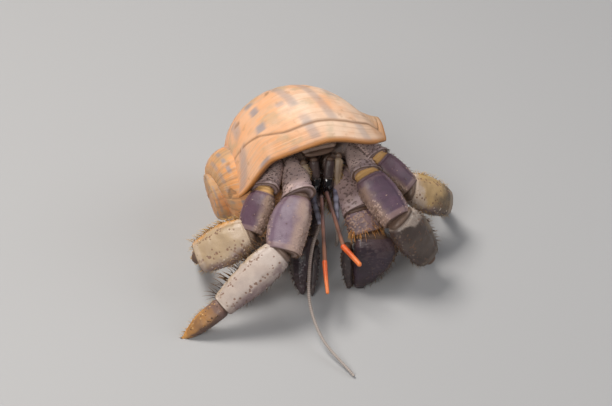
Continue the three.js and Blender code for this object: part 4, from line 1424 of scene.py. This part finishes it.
# %% Feeler table
FEELERS = {
    "antenna_base_R": (
        LAVENDER, "feeler", 1.9, 0.10, (0.75, 0.5),
        [(0.9, -10.6, 15.8), (1, -13, 16.6), (2.4, -18.9, 14.2)],
    ),
    "antenna_flagellum_R": (PALE, "feeler", 0.42, 0.10, (0.38, 0.27), [
        (2.5, -19.4, 13.9), (1, -23.3, 12), (0.2, -29.1, 9), (0.4, -34.5, 5.8),
        (2.9, -40.9, 2.6), (8.8, -48.5, 0.5)]),
    "antenna_base_L": (
        LAVENDER, "feeler", 1.9, 0.10, (0.75, 0.5),
        [(5.9, -10.4, 16.6), (5.9, -13, 17), (6, -19, 13.9)],
    ),
    "antenna_flagellum_L": (PALE, "feeler", 0.42, 0.10, (0.38, 0.27), [
        (6, -19.3, 13.5), (6.2, -19.4, 10), (6, -16, 5.4), (6.6, -10, 2.6), (9, -3, 1.2)]),
    "antennule_base_R": (
        DUSK, "feeler", 2.2, 0.08, (0.6, 0.5),
        [(2.6, -10, 15.4), (2.6, -13, 15.8), (2.8, -14.6, 17.6)],
    ),
    "antennule_stalk_R": (
        PINK, "feeler", 6.0, 0.08, (0.36, 0.42),
        [(2.85, -15, 17.4), (3.1, -20.6, 14.4), (3.4, -26.4, 10.7)],
    ),
    "antennule_tip_R": (
        CORAL, "feeler_tip", 0.3, 0.05, (0.52, 0.38),
        [(3.4, -26.9, 10.4), (3.6, -29.8, 9.2), (3.9, -33, 8)],
    ),
    "antennule_base_L": (
        DUSK, "feeler", 2.2, 0.08, (0.6, 0.5),
        [(4.4, -10, 15.6), (4.3, -12.8, 16), (3.9, -13.8, 18)],
    ),
    "antennule_stalk_L": (
        PINK, "feeler", 6.0, 0.08, (0.36, 0.42),
        [(3.9, -14.2, 18.2), (5.4, -18.8, 15.8), (7.1, -23.9, 12.7)],
    ),
    "antennule_tip_L": (
        CORAL, "feeler_tip", 0.3, 0.05, (0.6, 0.5),
        [(7.3, -24.5, 12.4), (8.8, -26.5, 12), (10.3, -28.5, 11.5)],
    ),
}
for name, (paint, its_slot, ring_length, swelling, radii, through) in FEELERS.items():
    rings, along, joint = feeler_rings(
        through, np.array(radii) * (1 - swelling / 2), ring_length, swelling,
    )
    rings[..., 2] = np.maximum(rings[..., 2], 0.0)
    shape = rings.shape[:2]
    feeler_masks = {
        "t": np.broadcast_to(along[:, None], shape), "joint": np.broadcast_to(joint[:, None], shape),
    }
    piece = closed_skin(name + "_skin", rings, feeler_masks)
    wear(piece, name, paint)
print("feelers:", len(FEELERS))

# %% [markdown]
# ## The soft tail
# The tail has no plates. It fills the mouth of the shell and follows the coil back round
# the pillar, so its surface is the shell's own formula, moved in from the wall. On its
# inner side it clears the turn of the shell that lies there.

# %% Soft tail
# It lies between 57 and 204 degrees of turn, and is rounded off over the first five and
# the last seven.
TAIL_GAP, TAIL_SKIN, WRINKLE, PAST_WALL = 1.1, 0.12, 0.25, 0.9
PILLAR, INNER_REACH = 4.6, 4.8
tail_turns = np.concatenate(
    [np.linspace(57, 62, 6), np.linspace(64, 196, 60), np.linspace(198, 204, 6)]
)
tail_scale = np.sqrt(np.clip(1 - np.clip((62 - tail_turns) / 5.5, 0, 1) ** 2, 0.02, 1))
tail_scale *= np.sqrt(np.clip(1 - np.clip((tail_turns - 197) / 7.5, 0, 1) ** 2, 0.02, 1))
outer_around = np.linspace(-78, 78, 60)
TT, OA = np.meshgrid(tail_turns, outer_around, indexing="ij")
inset = SHELL["wall"] + TAIL_GAP + TAIL_SKIN + WRINKLE * rough_noise(
    np.stack([TT * 0.09, OA * 0.05, TT * 0], -1), 1.0, 3, 31,
)
outer_side = shell_point(TT, OA, -inset, PILLAR)
axis_point = np.array([0, 0, SHELL["height"]]) + SHELL["apex"] * COIL_AXIS
place = (outer_side - axis_point) @ COIL_AXIS
past_size = SHELL["growth"] ** (-(TT + 360) / 360)
past_middle = past_size * SHELL["centre"]
across = np.clip((place - past_middle) / (past_size * SHELL["half_width"] + 0.01), -1, 1)
past_reach = past_size * SHELL["radius"] * (1 - across**2) ** (SHELL["round"] / 2)
clear = np.maximum(INNER_REACH, np.where(np.abs(across) < 1, past_reach + TAIL_GAP + PAST_WALL, 0))
on_axis = axis_point + place[..., None] * COIL_AXIS
arm = outer_side - on_axis
reach = np.linalg.norm(arm, axis=-1)
inner_side = on_axis + arm * (np.minimum(clear, reach * 0.98) / reach)[..., None]
tail = np.concatenate([outer_side, inner_side[:, ::-1]], axis=1)
tail_middle = tail.mean(axis=1, keepdims=True)
tail = tail_middle + (tail - tail_middle) * tail_scale[:, None, None]
tail_masks = {
    "t": np.broadcast_to(np.linspace(0, 1, len(tail_turns))[:, None], tail.shape[:2]),
    "joint": np.zeros(tail.shape[:2]),
}
tail_piece = closed_skin("soft_tail", tail, tail_masks)
tail_paint = feeler_paint(
    "tail_paint", (0.50, 0.27, 0.17), (0.38, 0.18, 0.13), (0.3, 0.15, 0.1), roughness=0.5,
)
tail_shader = tail_paint.node_tree.nodes["Principled BSDF"]
tail_shader.inputs["Subsurface Weight"].default_value = 0.2
tail_shader.inputs["Subsurface Radius"].default_value = (0.002, 0.001, 0.0006)
wear(tail_piece, "abdomen", tail_paint)
print("tail:", len(tail_piece.data.vertices), "points")

# %% [markdown]
# ## Bristles
# Stiff bristles, brown, golden or orange, line the edges of the limbs, and short ones
# stand scattered on most plates. Each is a bent, three-sided spike of sixteen triangles,
# rooted in the surface. Its place on an unwrap of the plate, along it and round it, is
# kept as a small patch of a map, so that a colour or a lie could later be painted for each
# bristle.


# %% Bristle mesh
ROOT_DEPTH = 0.05
THICKNESS, THICKER_BY_LENGTH = 0.032, 0.022


def row_unit(v):
    """Each row divided by its own length."""
    return v / (np.linalg.norm(v, axis=-1, keepdims=True) + 1e-12)


def spikes(roots, directions, bends, lengths, widths):
    """root + L s d + L s^2 b + w(s) (cos f e1 + sin f e2) for s = 0, 0.4, 0.75, and a tip."""
    d = row_unit(directions)
    e1 = row_unit(np.cross(d, bends + 1e-6))
    e2 = np.cross(d, e1)
    level = np.array([0.0, 0.4, 0.75])
    f = np.arange(3) * 2 * math.pi / 3
    centre = roots[:, None] + lengths[:, None, None] * (
        level[None, :, None] * d[:, None] + (level**2)[None, :, None] * bends[:, None]
    )
    width = widths[:, None] * np.array([1.0, 0.8, 0.45])
    ring = np.cos(f)[None, :, None] * e1[:, None] + np.sin(f)[None, :, None] * e2[:, None]
    rings = centre[:, :, None] + width[:, :, None, None] * ring[:, None]
    tip = roots + lengths[:, None] * (d + bends)
    return np.concatenate([rings.reshape(len(roots), 9, 3), tip[:, None]], axis=1)


SPIKE_QUADS = np.array([
    [r * 3 + k, r * 3 + (k + 1) % 3, r * 3 + 3 + (k + 1) % 3, r * 3 + 3 + k]
    for r in range(2) for k in range(3)
])
SPIKE_TRIANGLES = np.array([[6, 7, 9], [7, 8, 9], [8, 6, 9], [2, 1, 0]])
PATCH = 0.0015 * np.array([
    [0, -1], [0.9, 0.5], [-0.9, 0.5], [0, -0.7], [0.6, 0.4], [-0.6, 0.4], [0, -0.4],
    [0.3, 0.2], [-0.3, 0.2], [0, 0],
])

print("faces of a bristle:", len(SPIKE_QUADS) + len(SPIKE_TRIANGLES))

# %% [markdown]
# A coat is all the bristles of one plate. Their roots are drawn at random from the
# plate's own points, and each aims between the plate's normal and its length.


# %% Bristle coat
def bristle_coat(name, groups, paint, rng):
    """All bristles of one plate as one mesh. A group is (count, length, where, lift)."""
    plate = PLATES[name]
    surface = plate["carved"]
    normal = outward(surface).reshape(-1, 3)
    flat = surface.reshape(-1, 3)
    columns = surface.shape[1]
    clear = smoothstep(plate["t"], 0.03, 0.08)
    points, maps = [], []
    for count, length, where, lift in groups:
        picked = scatter(surface, count, where(plate) * clear + 1e-9, rng)
        n = normal[picked]
        along = np.broadcast_to(plate["along"], n.shape)
        aim = row_unit(n * lift + along * (1.0 - lift) + rng.normal(0, 0.13, n.shape))
        bend = row_unit(
            along * 0.9 - n * 0.3 + rng.normal(0, 0.25, n.shape)
        ) * rng.uniform(0.08, 0.3, (len(n), 1))
        lengths = length * rng.uniform(0.6, 1.15, len(n))
        points.append(
            spikes(
                flat[picked] - ROOT_DEPTH * n, aim, bend, lengths,
                THICKNESS + THICKER_BY_LENGTH * lengths,
            )
        )
        place = np.stack(
            [
                0.02 + 0.96 * (picked // columns) / surface.shape[0],
                0.02 + 0.96 * (picked % columns) / columns,
            ],
            -1,
        )
        maps.append(place[:, None] + PATCH[None])
    points = np.concatenate(points)
    points[..., 2] = np.maximum(points[..., 2], 0.0)
    starts = (np.arange(len(points)) * 10)[:, None, None]
    quads, triangles = SPIKE_QUADS, SPIKE_TRIANGLES
    if signed_volume(points[0] - points[0].mean(0), quads, triangles) < 0:
        quads, triangles = quads[:, ::-1], triangles[:, ::-1]
    quads, triangles = (quads + starts).reshape(-1, 4), (triangles + starts).reshape(-1, 3)
    level = np.tile([0, 0, 0, 0.4, 0.4, 0.4, 0.75, 0.75, 0.75, 1.0], len(points))
    piece = add_mesh(
        name + "_bristles", to_metres(points.reshape(-1, 3)), quads, triangles, {"level": level},
        ("OFBake", np.concatenate(maps).reshape(-1, 2)),
    )
    wear(piece, None, paint)
    return len(points)


print("bristle coat ready")


# %% Bristle paint
def bristle_paint(name, root, tip):
    """Horn that is darker at the root and clearer at the tip."""
    material, tree, shader, vector = new_material(name, 0.35, 0.5)
    colour = layer(tree, root, tip, ramp(tree, mask(tree, "level"), 0.1, 0.9), 1.0)
    tree.links.new(colour, shader.inputs["Base Color"])
    shader.inputs["Subsurface Weight"].default_value = 0.15
    shader.inputs["Subsurface Radius"].default_value = (0.001, 0.0006, 0.0003)
    return material


print("bristle paint ready")

# %% Bristle paints and places
GOLD = bristle_paint("gold_bristle_paint", (0.40, 0.22, 0.07), (0.74, 0.50, 0.20))
BROWN = bristle_paint("brown_bristle_paint", (0.08, 0.04, 0.02), (0.24, 0.13, 0.05))
ORANGE_HAIR = bristle_paint("orange_bristle_paint", (0.42, 0.17, 0.04), (0.80, 0.40, 0.12))
upper_margin = lambda p: smoothstep(p["upper"], 0.80, 0.97)
lower_margin = lambda p: smoothstep(-p["upper"], 0.80, 0.97)
both_margins = lambda p: smoothstep(np.abs(p["upper"]), 0.75, 0.97)
pit_row = lambda p: pit_rows(p) * (0.3 + outer_face(p))
far_edge = lambda p: smoothstep(p["t"], 0.7, 0.9) + 0.15 * both_margins(p)
print("bristle paints ready")

# %% [markdown]
# The table says, for each plate, which paint its bristles have and what groups of them
# it carries: how many, how long, where, and how steeply they stand.

# %% Bristle table
BRISTLES = {
    "leg2_R_propodus": (
        BROWN,
        [(75, 3.2, upper_margin, 0.97), (25, 0.9, lower_margin, 0.6), (14, 0.4, pit_row, 0.6)],
    ),
    "leg2_R_dactylus": (GOLD, [(45, 1.0, upper_margin, 0.6), (30, 0.5, pit_row, 0.4)]),
    "leg3_R_propodus": (
        GOLD, [(150, 1.7, upper_margin, 0.6), (60, 1.0, lower_margin, 0.5), (20, 0.4, pit_row, 0.5)],
    ),
    "leg3_R_dactylus": (GOLD, [(80, 1.0, upper_margin, 0.5), (150, 0.8, pit_row, 0.4)]),
    "leg2_L_propodus": (
        BROWN,
        [(120, 1.3, upper_margin, 0.6), (60, 1.0, lower_margin, 0.5), (50, 0.5, pit_row, 0.5)],
    ),
    "leg2_L_dactylus": (GOLD, [(90, 1.0, upper_margin, 0.5), (160, 0.8, pit_row, 0.4)]),
    "leg3_L_propodus": (
        GOLD, [(110, 1.2, upper_margin, 0.6), (50, 0.9, lower_margin, 0.5), (20, 0.4, pit_row, 0.5)],
    ),
    "leg3_L_dactylus": (GOLD, [(80, 0.9, upper_margin, 0.5), (140, 0.7, pit_row, 0.4)]),
    "claw_L_palm": (BROWN, [(160, 1.0, both_margins, 0.6), (90, 0.5, everywhere, 0.6)]),
    "claw_L_finger": (BROWN, [(90, 0.8, both_margins, 0.5)]),
    "claw_L_carpus": (ORANGE_HAIR, [(200, 1.7, far_edge, 0.45), (90, 0.6, everywhere, 0.6)]),
    "claw_R_carpus": (BROWN, [(90, 1.1, far_edge, 0.5)]),
    "claw_R_palm": (BROWN, [(150, 0.9, both_margins, 0.6)]),
    "maxilliped_R": (GOLD, [(220, 1.5, everywhere, 0.55)]),
    "maxilliped_L": (GOLD, [(220, 1.5, everywhere, 0.55)]),
    "antenna_scale_R": (GOLD, [(40, 0.7, both_margins, 0.6)]),
    "antenna_scale_L": (GOLD, [(40, 0.7, both_margins, 0.6)]),
    "carapace_shield": (BROWN, [(90, 0.5, upper_margin, 0.6), (60, 0.4, everywhere, 0.6)]),
    "leg4_R": (GOLD, [(80, 0.8, far_third, 0.6)]),
    "leg4_L": (GOLD, [(80, 0.8, far_third, 0.6)]),
}
for limb in ("leg2_R", "leg2_L", "leg3_R", "leg3_L", "claw_L"):
    BRISTLES[limb + "_merus"] = (BROWN, [(110, 0.7, upper_margin, 0.6), (60, 0.5, everywhere, 0.6)])
for limb in ("leg2_R", "leg2_L", "leg3_R", "leg3_L"):
    BRISTLES[limb + "_carpus"] = (BROWN, [(120, 0.8, both_margins, 0.6), (50, 0.5, everywhere, 0.6)])

print("plates with bristles:", len(BRISTLES))

# %% Grow every coat
grown = 0
for number, (name, (paint, groups)) in enumerate(BRISTLES.items()):
    rng = np.random.default_rng(700 + number)
    kind = name.split("_")[-1]
    its_slot = HEAD_SLOTS.get(name, PLATE_SLOTS.get(kind, "limb_purple"))
    grown += bristle_coat(name, groups, paint, rng)
print("bristles:", grown)
